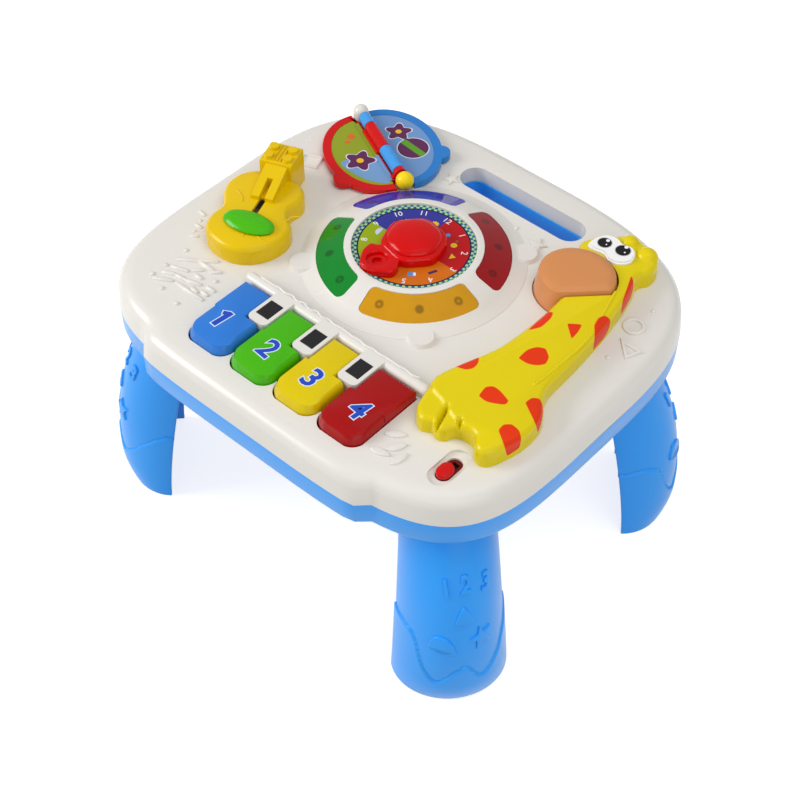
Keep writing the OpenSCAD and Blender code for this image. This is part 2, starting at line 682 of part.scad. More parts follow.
module bottom_shell() {
  tongue = 1.4;
  tongue_h = 3;
  color("cornflowerblue") difference() {
    union() {
      difference() {
        loft([
          [base_z, table_ring(1)], [base_z + 2, table_ring(0.2)], [seam_z, table_ring(0)]]);
        translate([0, 0, floor_z]) linear_extrude(band_h) polygon(table_ring(shell_t));
      }
      // tongue that centres the white shell
      translate([0, 0, floor_z]) difference() {
        linear_extrude(seam_z + tongue_h - floor_z) polygon(table_ring(shell_t + seat_gap));
        translate([0, 0, -1]) linear_extrude(band_h + 2 * tongue_h)
          polygon(table_ring(shell_t + seat_gap + tongue));
      }
      translate([0, 0, floor_z]) linear_extrude(1.5) difference() {
        polygon(table_ring(shell_t - 0.5));
        polygon(table_ring(shell_t + seat_gap + tongue));
      }
      carry_slot(slot_wall, base_z, seam_z);
      for (p = shell_screw_places) pillar(p, base_z, seam_z, boss_r + 0.8);
      at_each_leg() for (p = leg_screw_places) pillar(p, base_z, base_z + leg_boss_h, boss_r);
      for (p = main_board_screws) pillar(p, base_z, main_board_z, boss_r - 0.5);
      for (s = [-1, 1]) pillar([nose_x, nose_y + s * nose_boss_gap], base_z, nose_board_z, boss_r - 0.5);
      // battery box
      translate([battery_x, battery_y, base_z]) linear_extrude(box_h + shell_t + box_t)
        square([box_l + 2 * box_t, box_w + 2 * box_t], center = true);
      pillar([battery_x + door_screw_x, battery_y], base_z, base_z + 9, boss_r);
      translate([battery_x, battery_y, base_z]) linear_extrude(shell_t + 1.6)
        square([box_l + 2 * door_pad, box_w + 2 * door_pad], center = true);
      pillar([battery_x + door_screw_x, battery_y], base_z, floor_z + 1.6, 8);
      translate([battery_x + box_l / 2, battery_y - 8, base_z])
        cube([door_screw_x - box_l / 2, 16, shell_t + 1.6]);
      // ring round the loudspeaker
      translate([speaker_x, speaker_y, base_z]) difference() {
        cylinder(d = speaker_d + 4, h = shell_t + 4);
        translate([0, 0, shell_t]) cylinder(d = speaker_d + 2 * seat_gap, h = 5);
      }
      for (s = [-1, 1]) pillar([speaker_x + s * speaker_screw_r, speaker_y], base_z,
        clamp_top_z - 2, boss_r - 0.5);
    }
    carry_slot(0, base_z - 1, seam_z + 1);
    for (p = shell_screw_places) {
      pillar(p, base_z - 1, base_z + screw_head_h + 1, screw_head_r + 0.4);
      pillar(p, base_z, seam_z + 1, screw_hole_r);
    }
    at_each_leg() for (p = leg_screw_places)
      pillar(p, base_z - 1, base_z + leg_boss_h - 0.5, screw_hole_r);
    for (p = main_board_screws) pillar(p, floor_z, main_board_z + 1, screw_hole_r);
    for (s = [-1, 1]) pillar([nose_x, nose_y + s * nose_boss_gap], floor_z, nose_board_z + 1, screw_hole_r);
    translate([battery_x, battery_y, base_z - 1]) linear_extrude(box_h + shell_t + 1)
      square([box_l, box_w], center = true);
    // rebate and screw hole of the battery door
    translate([battery_x, battery_y, base_z - 1]) linear_extrude(door_t + 1 + seat_gap)
      square([box_l + 2 * door_ledge, box_w + 2 * door_ledge], center = true);
    translate([battery_x + door_screw_x, battery_y, base_z - 1]) {
      linear_extrude(door_t + 1 + seat_gap) circle(r = 5.5 + seat_gap);
      cylinder(r = screw_hole_r, h = 9);
    }
    translate([battery_x + box_l / 2, battery_y - 5.8, base_z - 1])
      cube([door_screw_x - box_l / 2, 11.6, door_t + 1 + seat_gap]);
    // sound slots under the loudspeaker
    for (k = [-2 : 2]) translate([speaker_x, speaker_y + k * 7, base_z - 1])
      linear_extrude(shell_t + 2) stadium(2 * sqrt(pow(grille_r, 2) - pow(k * 7, 2)), 3);
    for (s = [-1, 1]) pillar([speaker_x + s * speaker_screw_r, speaker_y], base_z + 0.8,
      clamp_top_z, screw_hole_r);
  }
}

module shell_screws() {
  color("silver") for (p = shell_screw_places) screw(p, base_z + screw_head_h + 1, lip_h + 6);
}

// ---------------------------------------------------------------- piano

key_corner_r = 10;

// Plan of a key's wide front part, inset by d at the sides and by f at the front.
function key_plan(d, f) = let (x = key_w / 2 - d, r = key_corner_r, back = key_len - key_notch_len)
  concat(
    [for (a = [180 : 10 : 270]) [r - x + r * cos(a), f + r + r * sin(a)]],
    [for (a = [270 : 10 : 360]) [x - r + r * cos(a), f + r + r * sin(a)]],
    [[x, back], [-x, back]]);

module key(i) {
  wall = 2;
  x_rear = (rear_left(i) + rear_right(i)) / 2;
  difference() {
    union() {
      translate([key_x(i), key_front_y, 0]) hull() {
        for (q = [[top_z + 1, 0, 0], [key_top_z - 1.5, 0.9, 2.4], [key_top_z, 2.2, 6.5]])
          translate([0, 0, key_bottom_z]) linear_extrude(q[0] - key_bottom_z)
            polygon(key_plan(q[1], q[2]));
      }
      translate([x_rear, key_back_y - key_notch_len / 2 - 2, 0])
        eased_block(key_bottom_z, key_top_z, 1.6)
          square([rear_right(i) - rear_left(i), key_notch_len + 4], center = true);
      // arm that reaches back to the rod
      translate([x_rear - 5, key_back_y - 6, axle_z - 3])
        cube([10, 6 + axle_y - key_back_y, 5.5]);
      translate([x_rear - 5, axle_y, axle_z]) rotate([0, 90, 0]) cylinder(r = 3.2, h = 10);
    }
    // hollow underside
    translate([key_x(i) - key_w / 2 + wall + 0.6, key_front_y + 8, key_bottom_z - 1])
      cube([key_w - 2 * wall - 1.2, key_len - key_notch_len - 10,
        key_top_z - key_bottom_z - wall - 1]);
    translate([x_rear - 6, axle_y, axle_z]) rotate([0, 90, 0])
      cylinder(r = axle_r + bore_gap, h = 12);
  }
  // plunger over the pad
  translate([key_x(i), pad_y, key_bottom_z]) cylinder(r = 3, h = 11);
}
module key_1() { color("royalblue") key(0); }
module key_2() { color("limegreen") key(1); }
module key_3() { color("gold") key(2); }
module key_4() { color("firebrick") key(3); }

module key_axle() {
  color("silver") translate([piano_x - piano_half - 3, axle_y, axle_z]) rotate([0, 90, 0])
    cylinder(r = axle_r, h = 2 * piano_half + 6);
}
module key_inserts() { color("black") for (i = [0 : key_count - 2]) insert_pocket(i, 0); }

module main_board() {
  color("darkgreen") difference() {
    translate([piano_x, main_board_y, main_board_z]) linear_extrude(board_t)
      square(main_board_size, center = true);
    for (p = main_board_screws) pillar(p, main_board_z - 1, main_board_z + board_t + 1, screw_hole_r);
  }
}
module key_pads() {
  pad_z = main_board_z + board_t;
  color("dimgray") {
    translate([piano_x, pad_y, pad_z]) linear_extrude(pad_h)
      square([main_board_size[0] - 22, 14], center = true);
    for (i = [0 : key_count - 1]) translate([key_x(i), pad_y, pad_z])
      cylinder(r1 = 5, r2 = 3.5, h = pad_h + dome_rise);
  }
}
module board_screws() {
  color("silver") {
    for (p = main_board_screws) translate([0, 0, 2 * (main_board_z + board_t)]) mirror([0, 0, 1])
      screw(p, main_board_z + board_t, 9);
    for (s = [-1, 1]) translate([0, 0, 2 * (nose_board_z + board_t)]) mirror([0, 0, 1])
      screw([nose_x, nose_y + s * nose_boss_gap], nose_board_z + board_t, 9);
  }
}
module speaker_screws() {
  color("silver") for (s = [-1, 1]) translate([0, 0, 2 * clamp_top_z]) mirror([0, 0, 1])
    screw([speaker_x + s * speaker_screw_r, speaker_y], clamp_top_z, 6);
}
module sound_chip() {
  color("black") translate([piano_x - 30, main_board_y + 9, main_board_z + board_t])
    cylinder(r1 = 6, r2 = 4.5, h = 1.8);
}

// ---------------------------------------------------------------- dial, pointer and lamps

module dial_disc() {
  color("darkorange") at_dial() difference() {
    pillar([0, 0], dial_seat_z, dial_seat_z + dial_t, dial_r);
    pillar([0, 0], dial_seat_z - 1, dial_seat_z + dial_t + 1, shaft_r + 1);
  }
}

pointer_z = dial_seat_z + dial_t + seat_gap;
pointer_turn = -102;
pointer_arm_h = 5.4;
knob_skirt_h = 6.2;
knob_h = 12;
lobe_count = 6;
knob_lobe_d = 1;                 // how far a lobe stands out of the knob's middle line
knob_outline = [for (i = [0 : 71]) let (a = 5 * i)
  on_circle(knob_r - knob_lobe_d + knob_lobe_d * cos(lobe_count * (a - pointer_turn) + 180), a)];
wiper_r = 12;
wiper_t = 2;
arm_tip_r = 6.5;
arm_wing = [26, 9.6];            // place of the arm's widest part, along and across
arm_wing_r = 4.8;
arm_root = 13;                   // place and radius of the arm's root under the knob
arm_root_r = 10;
module pointer() {
  knob_top_r = knob_r - 4;
  color("red") at_dial() {
    difference() {
      union() {
        // knob with six lobes and a domed top
        moulded(knob_outline, pointer_z, pointer_z + knob_skirt_h, 1.5);
        translate([0, 0, pointer_z]) rotate_extrude() polygon(concat(
          [[0, 1], [knob_top_r + 1, 1], [knob_top_r + 0.5, knob_skirt_h + 0.8]],
          [for (a = [0 : 15 : 90])
            [knob_top_r * cos(a), knob_skirt_h + 1.8 + (knob_h - knob_skirt_h - 1.8) * sin(a)]]));
        rotate(pointer_turn) eased_block(pointer_z, pointer_z + pointer_arm_h, 1.2) hull() {
          translate([pointer_len - arm_tip_r, 0]) circle(r = arm_tip_r, $fn = HULL_FN);
          for (m = [-1, 1]) translate([arm_wing[0], m * arm_wing[1]])
            circle(r = arm_wing_r, $fn = HULL_FN);
          translate([arm_root, 0]) circle(r = arm_root_r, $fn = HULL_FN);
        }
        pillar([0, 0], dial_seat_z - shell_t - seat_gap, pointer_z + 2, shaft_r);
      }
      // finger hollow in the arm
      rotate(pointer_turn) translate([pointer_len - 10.4, 0, pointer_z + 1.6])
        cylinder(r1 = 4.6, r2 = 6, h = pointer_arm_h);
      pillar([0, 0], dial_seat_z - shell_t - 1, pointer_z + 9, screw_hole_r);
    }
  }
}
module pointer_wiper() {
  color("khaki") at_dial() difference() {
    pillar([0, 0], dial_seat_z - shell_t - seat_gap - wiper_t, dial_seat_z - shell_t - seat_gap,
      wiper_r);
    pillar([0, 0], dial_seat_z - 12, dial_seat_z, screw_hole_r);
  }
}
module pointer_screw() {
  color("silver") at_dial() screw([0, 0], dial_seat_z - shell_t - seat_gap - wiper_t, 10);
}

module window_red() { color("darkred") lens(45); }
module window_violet() { color("mediumpurple") lens(135); }
module window_green() { color("green") lens(225); }
module window_amber() { color("goldenrod") lens(315); }

module lamp_board() {
  color("darkgreen") at_dial() difference() {
    pillar([0, 0], lamp_board_z, lamp_board_z + board_t, lens_out_r - 3);
    pillar([0, 0], lamp_board_z - 1, lamp_board_z + board_t + 1, 30);
    for (a = [0, 90, 180, 270]) rotate(a)
      pillar([lamp_boss_r, 0], lamp_board_z - 1, lamp_board_z + board_t + 1, screw_hole_r);
  }
}
module lamp_leds() {
  color("whitesmoke") at_dial() for (w = [45, 135, 225, 315]) for (k = [-1 : 1]) rotate(w + 24 * k)
    translate([lens_mid_r, 0, lamp_board_z + board_t]) {
      cylinder(r = led_r, h = led_r);
      translate([0, 0, led_r]) sphere(r = led_r);
    }
}
module lamp_screws() {
  color("silver") at_dial() for (a = [0, 90, 180, 270]) rotate(a)
    screw([lamp_boss_r, 0], lamp_board_z, 6);
}

// ---------------------------------------------------------------- drum book

leaf_rim = 6;
picture_depth = 0.8;
picture_t = 0.4;
tab_at = [18, 35.6];
tab_r = 7;
leaf_top_z = leaf_z + leaf_t;
// the plates stay clear of the barrels' circle
plate_in = sqrt(pow(barrel_r + run_gap, 2) - pow(hinge_rise, 2));
leaf_step = 6;
leaf_in = post_r + 0.8;          // a leaf's oval starts this far from the hinge
leaf_clear = 0.6;                // from a leaf's edge to the dome's skirt

function half_oval(l, w, inner) = concat(
  [for (a = [0 : leaf_step : 180]) [l * cos(a), inner + (w - inner) * sin(a)]]);

// Plan of a leaf on the +Y side of the hinge.
module leaf_plan() {
  polygon(half_oval(drum_half_l, drum_half_w, leaf_in));
  translate([barrel_ends[0], plate_in])
    square([barrel_ends[4] - barrel_ends[0], post_r + 2 - plate_in]);
  translate(tab_at) circle(r = tab_r);
}
module picture_plan(gap) {
  polygon(half_oval(drum_half_l - leaf_rim - gap, drum_half_w - leaf_rim - gap,
    post_r + 1 + gap));
}

// A leaf's plate: side 1 lies on the +Y side, side -1 on the other.
module leaf(side) {
  at_drum() mirror([0, side > 0 ? 0 : 1, 0]) difference() {
    translate([0, 0, leaf_z]) linear_extrude(leaf_t) leaf_plan();
    // pockets for the pictures, above and below
    translate([0, 0, leaf_top_z - picture_depth]) linear_extrude(2) picture_plan(0);
    translate([0, 0, leaf_z - 2 + picture_depth]) linear_extrude(2) picture_plan(0);
  }
}
module red_leaf() { color("red") leaf(-1); }
module blue_leaf() { color("steelblue") leaf(1); }

// A leaf's two hinge barrels, each with a foot that is welded to the leaf's rim.
knuckle_foot = [2.2, post_r + 0.7];      // from and to, across the hinge
knuckle_foot_h = 1.8;
module knuckles(side) {
  own = side > 0 ? [[0, 1], [2, 3]] : [[1, 2], [3, 4]];
  at_drum() difference() {
    mirror([0, side > 0 ? 0 : 1, 0])
      for (k = own) translate([barrel_ends[k[0]] + seat_gap, 0, 0]) {
        barrel_l = barrel_ends[k[1]] - barrel_ends[k[0]] - 2 * seat_gap;
        translate([0, 0, hinge_z]) rotate([0, 90, 0]) cylinder(r = barrel_r, h = barrel_l);
        translate([0, knuckle_foot[0], leaf_top_z])
          cube([barrel_l, knuckle_foot[1] - knuckle_foot[0], knuckle_foot_h]);
      }
    translate([-60, 0, hinge_z]) rotate([0, 90, 0]) cylinder(r = pin_r + bore_gap, h = 120);
  }
}
module red_knuckles() { color("red") knuckles(-1); }
module blue_knuckles() { color("deepskyblue") knuckles(1); }

module leaf_pictures(side) {
  at_drum() mirror([0, side > 0 ? 0 : 1, 0])
    for (z = [leaf_z + leaf_t - picture_depth, leaf_z + picture_depth - picture_t])
      translate([0, 0, z]) linear_extrude(picture_t) picture_plan(0.1);
}
module red_pictures() { color("yellowgreen") leaf_pictures(-1); }
module blue_pictures() { color("lightblue") leaf_pictures(1); }

module hinge_pin() {
  color("silver") at_drum() translate([post_at - post_r + 2.5, 0, hinge_z]) rotate([0, 90, 0])
    cylinder(r = pin_r, h = ball_at - post_at + post_r);
}
module end_ball() {
  color("yellow") at_drum() difference() {
    translate([ball_at, 0, hinge_z]) sphere(r = ball_r);
    translate([ball_at - 10, 0, hinge_z]) rotate([0, 90, 0])
      cylinder(r = pin_r + bore_gap, h = 14);
  }
}

// ---------------------------------------------------------------- guitar

guitar_z = top_z + guitar_h;
guitar_outline = closed_curve([
  [0, -24.5], [10.8, -22.2], [19.6, -16.1], [26, -7.2], [28.4, 2.2], [27.2, 9.8], [23, 15.2],
  [20.2, 21], [20.2, 26.5], [22.8, 32], [23.4, 39], [20, 46.5], [12, 52], [0, 54.5],
  [-12, 54.6], [-20.6, 51.2], [-26.4, 45.5], [-29.6, 38], [-30, 31], [-28.2, 24], [-25, 17.2],
  [-23.8, 11], [-26, 4.5], [-27, -1.5], [-25.6, -9.2], [-20.4, -16.4], [-11, -22]], 2);
neck_w = 15.5;
neck_tip = 24;
head_at = [49, 69.5];
head_x = -0.8;
head_w = 23;
head_z = top_z + 26.5;
peg_inset = 4.7;                 // a peg's middle to the side of the headstock
strum_slot = [4.6, strum_travel + 22];   // it goes on into the fork of the neck
strum_slot_from = -7;
guitar_wall = 2.2;

module guitar_body() {
  color("gold") at_guitar() difference() {
    union() {
      difference() {
        moulded(guitar_outline, top_z, guitar_z, 4);
        translate([0, 0, top_z - 1]) linear_extrude(guitar_h + 1 - guitar_wall)
          polygon(inset_ring(guitar_outline, guitar_wall));
      }
      for (p = guitar_bosses) pillar(p, top_z, guitar_z - 1, figure_boss_r);
      // sloping neck
      translate([neck_w / 2, 0, 0]) rotate([90, 0, -90]) linear_extrude(neck_w) mirror([1, 0])
        polygon([[neck_tip, guitar_z - 1], [neck_tip, guitar_z + 3],
          [head_at[0] + 1, head_z - 1.5], [head_at[0] + 1, guitar_z - 1]]);
      // headstock with four pegs and three strings
      translate([head_x, (head_at[0] + head_at[1]) / 2, 0]) eased_block(top_z, head_z, 0.8)
        square([head_w, head_at[1] - head_at[0]], center = true);
      for (sx = [-1, 1]) for (y = [head_at[0] + 5, head_at[1] - 6])
        translate([head_x + sx * (head_w / 2 - peg_inset), y, head_z - 1])
          cylinder(r1 = 3.8, r2 = 3.2, h = 3.5);
      for (sx = [-1 : 1]) translate([head_x + sx * 2.6 - 0.4, head_at[0] + 2, head_z - 1])
        cube([0.8, head_at[1] - head_at[0] - 4, 2]);
    }
    // slot of the strumming slider and the fork of the neck above it
    translate([-strum_slot[0] / 2, strum_slot_from, guitar_z - 4])
      cube([strum_slot[0], strum_slot[1], 4.5]);
    translate([-2, neck_tip - 1, guitar_z - 0.5]) cube([4, 16, 20]);
    for (p = guitar_bosses) pillar(p, top_z - 1, guitar_z - 3.5, screw_hole_r);
    // the headstock is hollow below
    translate([head_x, (head_at[0] + head_at[1]) / 2 + 3.4, top_z - 1]) linear_extrude(21)
      square([head_w - 5, head_at[1] - head_at[0] - 11], center = true);
  }
}

strum_half = [18.5, 10];
strum_x = 1.6;
strum_turn = -6;
strum_z = guitar_z + seat_gap;
strum_h = 4;
function strum_outline(d) = [for (i = [0 : 39]) let (a = 9 * i)
  [(strum_half[0] - d) * cos(a), (strum_half[1] - d) * sin(a)]];
module guitar_slider() {
  color("limegreen") at_guitar() {
    translate([strum_x, 0, strum_z]) rotate(strum_turn)
      loft([[0, strum_outline(1)], [1.2, strum_outline(0)], [2.8, strum_outline(1.2)],
        [strum_h, strum_outline(4)]]);
    translate([-strum_slot[0] / 2 + 0.3, -4, guitar_z - guitar_wall - seat_gap])
      cube([strum_slot[0] - 0.6, 8, guitar_wall + 2 * seat_gap + 0.5]);
  }
}
module slider_clip() {
  color("white") at_guitar()
    translate([-6, -5, guitar_z - guitar_wall - seat_gap - 2]) cube([12, 10, 2]);
}

// ---------------------------------------------------------------- giraffe

giraffe_z = top_z + giraffe_h;
giraffe_points = [
  [-9, -132.5], [-6, -144.5], [-1, -151.5], [5, -153.5], [10, -150.5], [15, -152.5], [20, -150.5],
  [23, -144.5], [30, -142.5], [37, -143.5], [41, -149.5], [47, -151.5], [52, -147.5],
  [55, -139.5], [58, -127.5], [58, -113.5], [55, -103.5], [48, -94.5], [44, -83.5], [43, -65.5],
  [41.5, -45.5], [39.5, -25.5], [36.2, -5.5], [33.4, 8.5], [30.5, 18.5], [28, 24.5], [28.5, 29.5],
  [31.2, 33.5], [31.8, 39], [30.5, 44.5], [26.5, 50.5], [20, 54], [14, 53.5], [10, 54.7],
  [5, 56.5], [-0.5, 53.5], [-7, 45.5], [-13, 39.5], [-17, 33.5], [-18, 25.5], [-11, 14.5],
  [1, -3.5], [3, -19.5], [4.5, -35.5], [4, -57.5], [2, -79.5], [-3, -95.5], [-8, -110.5],
  [-11, -122.5]];
giraffe_outline = closed_curve([for (q = giraffe_points) [nose_x, nose_y] + q], 2);
giraffe_wall = 2.2;
eye_points = [
  [-12, 26.5], [-6, 25.5], [1, 26.5], [6, 23.5], [13, 24.5], [18, 30.5], [17, 37.5], [12, 42.5],
  [5, 41.5], [-1, 43.5], [-8, 41.5], [-12, 34.5]];
eye_outline = closed_curve([for (q = eye_points) [nose_x, nose_y] + q], 3);
eye_rise = 2.5;

module giraffe_body() {
  color("gold") difference() {
    union() {
      difference() {
        moulded(giraffe_outline, top_z, giraffe_z, 4);
        // the hollow leaves a wall beside the nose button
        difference() {
          translate([0, 0, top_z - 1]) linear_extrude(giraffe_h + 1 - giraffe_wall)
            polygon(inset_ring(giraffe_outline, giraffe_wall));
          at_nose() translate([0, 0, top_z - 2]) linear_extrude(giraffe_h + 2)
            polygon(nose_outline(nose_flare + run_gap + giraffe_wall));
        }
      }
      for (p = giraffe_bosses) pillar(p, top_z, giraffe_z - 1, figure_boss_r);
      // horns
      translate([nose_x + 5.5, nose_y + 48.5, giraffe_z - 4]) sphere(r = 7);
      translate([nose_x + 21, nose_y + 45, giraffe_z - 4]) sphere(r = 8);
    }
    at_nose() loft([for (q = [[-1, nose_flare], [giraffe_h + 8, 0]])
      [top_z + q[0], nose_outline(q[1] + run_gap)]]);
    translate([0, 0, giraffe_z - 0.6]) linear_extrude(8) polygon(inset_ring(eye_outline, -0.1));
    for (p = giraffe_bosses) pillar(p, top_z - 1, giraffe_z - 3.5, screw_hole_r);
  }
}
module giraffe_eyes() {
  color("white") for (q = [[1.2, 0], [eye_rise, 1]]) translate([0, 0, giraffe_z - 0.6])
    linear_extrude(q[0] + 0.6) polygon(inset_ring(eye_outline, q[1]));
}

module nose_button() {
  color("sandybrown") at_nose() {
    difference() {
      union() {
        levelled(nose_flange_z - 1, nose_top_z)
          loft([for (q = [[nose_flange_z - top_z - 1.5, -nose_flare], [0, -nose_flare],
              [nose_rise - 4.5, -0.3], [nose_rise - 2.2, 0.3], [nose_rise - 0.8, 2.2],
              [nose_rise - 0.2, 5], [nose_rise + 0.1, 9]])
            [top_z + q[0], nose_outline(-q[1])]]);
        translate([0, 0, nose_flange_z - 2]) linear_extrude(2)
          polygon(nose_outline(nose_flange_r));
      }
      translate([0, 0, nose_flange_z - 3]) linear_extrude(nose_rise)
        polygon(nose_outline(-2.8));
    }
    // plunger over the pad
    pillar([0, 0], nose_board_z + board_t + pad_h + dome_rise + nose_travel + seat_gap,
      top_z + nose_rise - 3, 4);
  }
}
module nose_board() {
  color("darkgreen") difference() {
    pillar([nose_x, nose_y], nose_board_z, nose_board_z + board_t, nose_board_r);
    for (s = [-1, 1]) pillar([nose_x, nose_y + s * nose_boss_gap], nose_board_z - 1,
      nose_board_z + board_t + 1, screw_hole_r);
  }
}
module nose_pad() {
  color("dimgray") translate([nose_x, nose_y, nose_board_z + board_t]) {
    cylinder(r = 6.5, h = pad_h);
    cylinder(r1 = 5, r2 = 3.5, h = pad_h + dome_rise);
  }
}

module figure_screws() {
  color("silver") {
    at_guitar() for (p = guitar_bosses) screw(p, ceiling_z, 9);
    for (p = giraffe_bosses) screw(p, ceiling_z, 9);
  }
}

// ---------------------------------------------------------------- power switch

switch_floor_z = top_z - switch_recess;
module switch_knob() {
  shift = -switch_travel / 2;
  stem_l = switch_cap[1] - 5;
  color("red") at_switch() translate([shift, 0, 0]) {
    eased_block(switch_floor_z + seat_gap, top_z + 2, 1.2)
      stadium(switch_cap[1], switch_cap[0]);
    translate([-stem_l / 2, -2, switch_body_z + 2.6])
      cube([stem_l, 4, switch_floor_z + 1 - switch_body_z - 2.6]);
  }
}
module switch_body() {
  color("silver") at_switch() difference() {
    union() {
      translate([0, 0, switch_body_z - 4]) linear_extrude(7.4)
        square([switch_slot_l + 4, 8], center = true);
      translate([0, 0, switch_body_z - 1]) linear_extrude(1)
        stadium(2 * switch_ear + 8, 8);
    }
    translate([0, 0, switch_body_z + 2]) linear_extrude(8)
      square([switch_cap[1] - 5 + switch_travel + 1, 5], center = true);
    for (s = [-1, 1]) pillar([s * switch_ear, 0], switch_body_z - 5, switch_body_z + 1,
      screw_hole_r);
  }
}
module switch_screws() {
  color("silver") at_switch() for (s = [-1, 1]) screw([s * switch_ear, 0], switch_body_z - 1, 4);
}

// ---------------------------------------------------------------- loudspeaker

module speaker_frame() {
  color("dimgray") translate([speaker_x, speaker_y, floor_z]) difference() {
    union() {
      cylinder(d = speaker_d, h = 3);
      cylinder(r1 = speaker_d / 2 - 3, r2 = speaker_d / 4, h = speaker_h - 5);
      translate([0, 0, speaker_h - 6]) cylinder(r = speaker_d / 3.6, h = 6);
    }
    translate([0, 0, -1]) cylinder(r = speaker_d / 2 - 4.5, h = 2.8);
    translate([0, 0, 1.7]) cylinder(r1 = speaker_d / 2 - 4.5, r2 = speaker_d / 6, h = 7);
  }
}
module speaker_cone() {
  color("black") translate([speaker_x, speaker_y, floor_z]) rotate_extrude() polygon([
    [0, 4.2], [speaker_d / 6, 4.2], [speaker_d / 2 - 6, 0.6], [speaker_d / 2 - 4.7, 0.6],
    [speaker_d / 2 - 4.7, 1.2], [speaker_d / 2 - 6, 1.2], [speaker_d / 6, 4.8], [0, 4.8]]);
}
module speaker_clamp() {
  color("white") translate([speaker_x, speaker_y, 0]) difference() {
    union() {
      translate([0, 0, clamp_top_z - 2]) linear_extrude(2) difference() {
        union() {
          stadium(2 * speaker_screw_r + 8, 9);
          circle(r = speaker_d / 2 + 1);
        }
        circle(r = speaker_d / 2 - 2.2);
      }
      translate([0, 0, floor_z + 3]) linear_extrude(3) difference() {
        circle(r = speaker_d / 2 - 0.2);
        circle(r = speaker_d / 2 - 2.2);
      }
    }
    for (s = [-1, 1]) pillar([s * speaker_screw_r, 0], clamp_top_z - 3, clamp_top_z + 1,
      screw_hole_r);
  }
}

// ---------------------------------------------------------------- batteries

function cell_y(i) = battery_y + (i - (cell_count - 1) / 2) * (cell_d + cell_gap);
module battery_cells() {
  color("dimgray") for (i = [0 : cell_count - 1])
    translate([battery_x, cell_y(i), cell_z]) rotate([0, i % 2 == 0 ? 90 : -90, 0]) {
      translate([0, 0, -cell_l / 2]) cylinder(d = cell_d, h = cell_l - 1.2);
      translate([0, 0, cell_l / 2 - 2]) cylinder(r = 2.7, h = 2);
    }
}
module battery_contacts() {
  color("silver") for (i = [0 : cell_count - 1]) for (s = [-1, 1])
    translate([battery_x + s * (box_l / 2 - 0.3), cell_y(i), cell_z]) rotate([0, -90 * s, 0]) {
      translate([-5, -5, 0]) cube([10, 10, 0.5]);
      cylinder(r1 = 4, r2 = 2.2, h = (box_l - cell_l) / 2 - 0.6);
    }
}
module battery_door() {
  color("cornflowerblue") difference() {
    union() {
      translate([battery_x, battery_y, base_z]) linear_extrude(door_t)
        square([box_l + 2 * door_ledge - 2 * seat_gap, box_w + 2 * door_ledge - 2 * seat_gap],
          center = true);
      translate([battery_x + box_l / 2 - 1, battery_y - 5.5, base_z])
        cube([door_screw_x - box_l / 2 + 1, 11, door_t]);
      translate([battery_x + door_screw_x, battery_y, base_z]) cylinder(r = 5.5, h = door_t);
    }
    translate([battery_x + door_screw_x, battery_y, base_z - 1]) {
      cylinder(r = screw_hole_r, h = door_t + 2);
      cylinder(r = screw_head_r + 0.4, h = 2.2);
    }
  }
}
module door_screw() {
  color("silver") translate([0, 0, screw_head_h - 0.8])
    screw([battery_x + door_screw_x, battery_y], base_z, 6);
}

// ---------------------------------------------------------------- assembly

top_shell();
bottom_shell();
leg_front_left();
leg_front_right();
leg_back_left();
leg_back_right();
leg_screws();
shell_screws();
key_1();
key_2();
key_3();
key_4();
key_axle();
key_inserts();
key_pads();
main_board();
board_screws();
sound_chip();
dial_disc();
pointer();
pointer_wiper();
pointer_screw();
window_green();
window_amber();
window_red();
window_violet();
lamp_board();
lamp_leds();
lamp_screws();
red_leaf();
blue_leaf();
red_knuckles();
blue_knuckles();
red_pictures();
blue_pictures();
hinge_pin();
end_ball();
guitar_body();
guitar_slider();
slider_clip();
giraffe_body();
giraffe_eyes();
nose_button();
nose_pad();
nose_board();
figure_screws();
switch_knob();
switch_body();
switch_screws();
speaker_frame();
speaker_cone();
speaker_clamp();
speaker_screws();
battery_cells();
battery_contacts();
battery_door();
door_screw();
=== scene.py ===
import math

import bmesh
import bpy
from mathutils import Matrix, Vector
from mathutils.geometry import convex_hull_2d, interpolate_bezier


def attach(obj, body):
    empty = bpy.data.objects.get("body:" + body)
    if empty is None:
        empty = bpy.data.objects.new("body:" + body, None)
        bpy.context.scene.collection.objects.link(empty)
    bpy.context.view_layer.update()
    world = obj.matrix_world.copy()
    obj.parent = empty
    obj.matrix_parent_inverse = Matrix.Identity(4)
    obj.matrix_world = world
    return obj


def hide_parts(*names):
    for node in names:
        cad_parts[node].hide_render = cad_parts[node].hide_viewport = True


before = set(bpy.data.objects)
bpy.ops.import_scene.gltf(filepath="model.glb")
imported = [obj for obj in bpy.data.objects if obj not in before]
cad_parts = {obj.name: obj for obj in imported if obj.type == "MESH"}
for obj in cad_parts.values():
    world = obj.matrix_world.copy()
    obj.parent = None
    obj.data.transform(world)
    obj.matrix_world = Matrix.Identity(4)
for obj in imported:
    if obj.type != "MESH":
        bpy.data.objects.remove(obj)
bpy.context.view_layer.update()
MM = 0.001

# ------------------------------------------------------------ view, light and floor
# A pale studio floor, a white background and soft daylight from the upper left, with a
# broad fill on the right and a soft lamp above. Only the floor belongs to the stage.

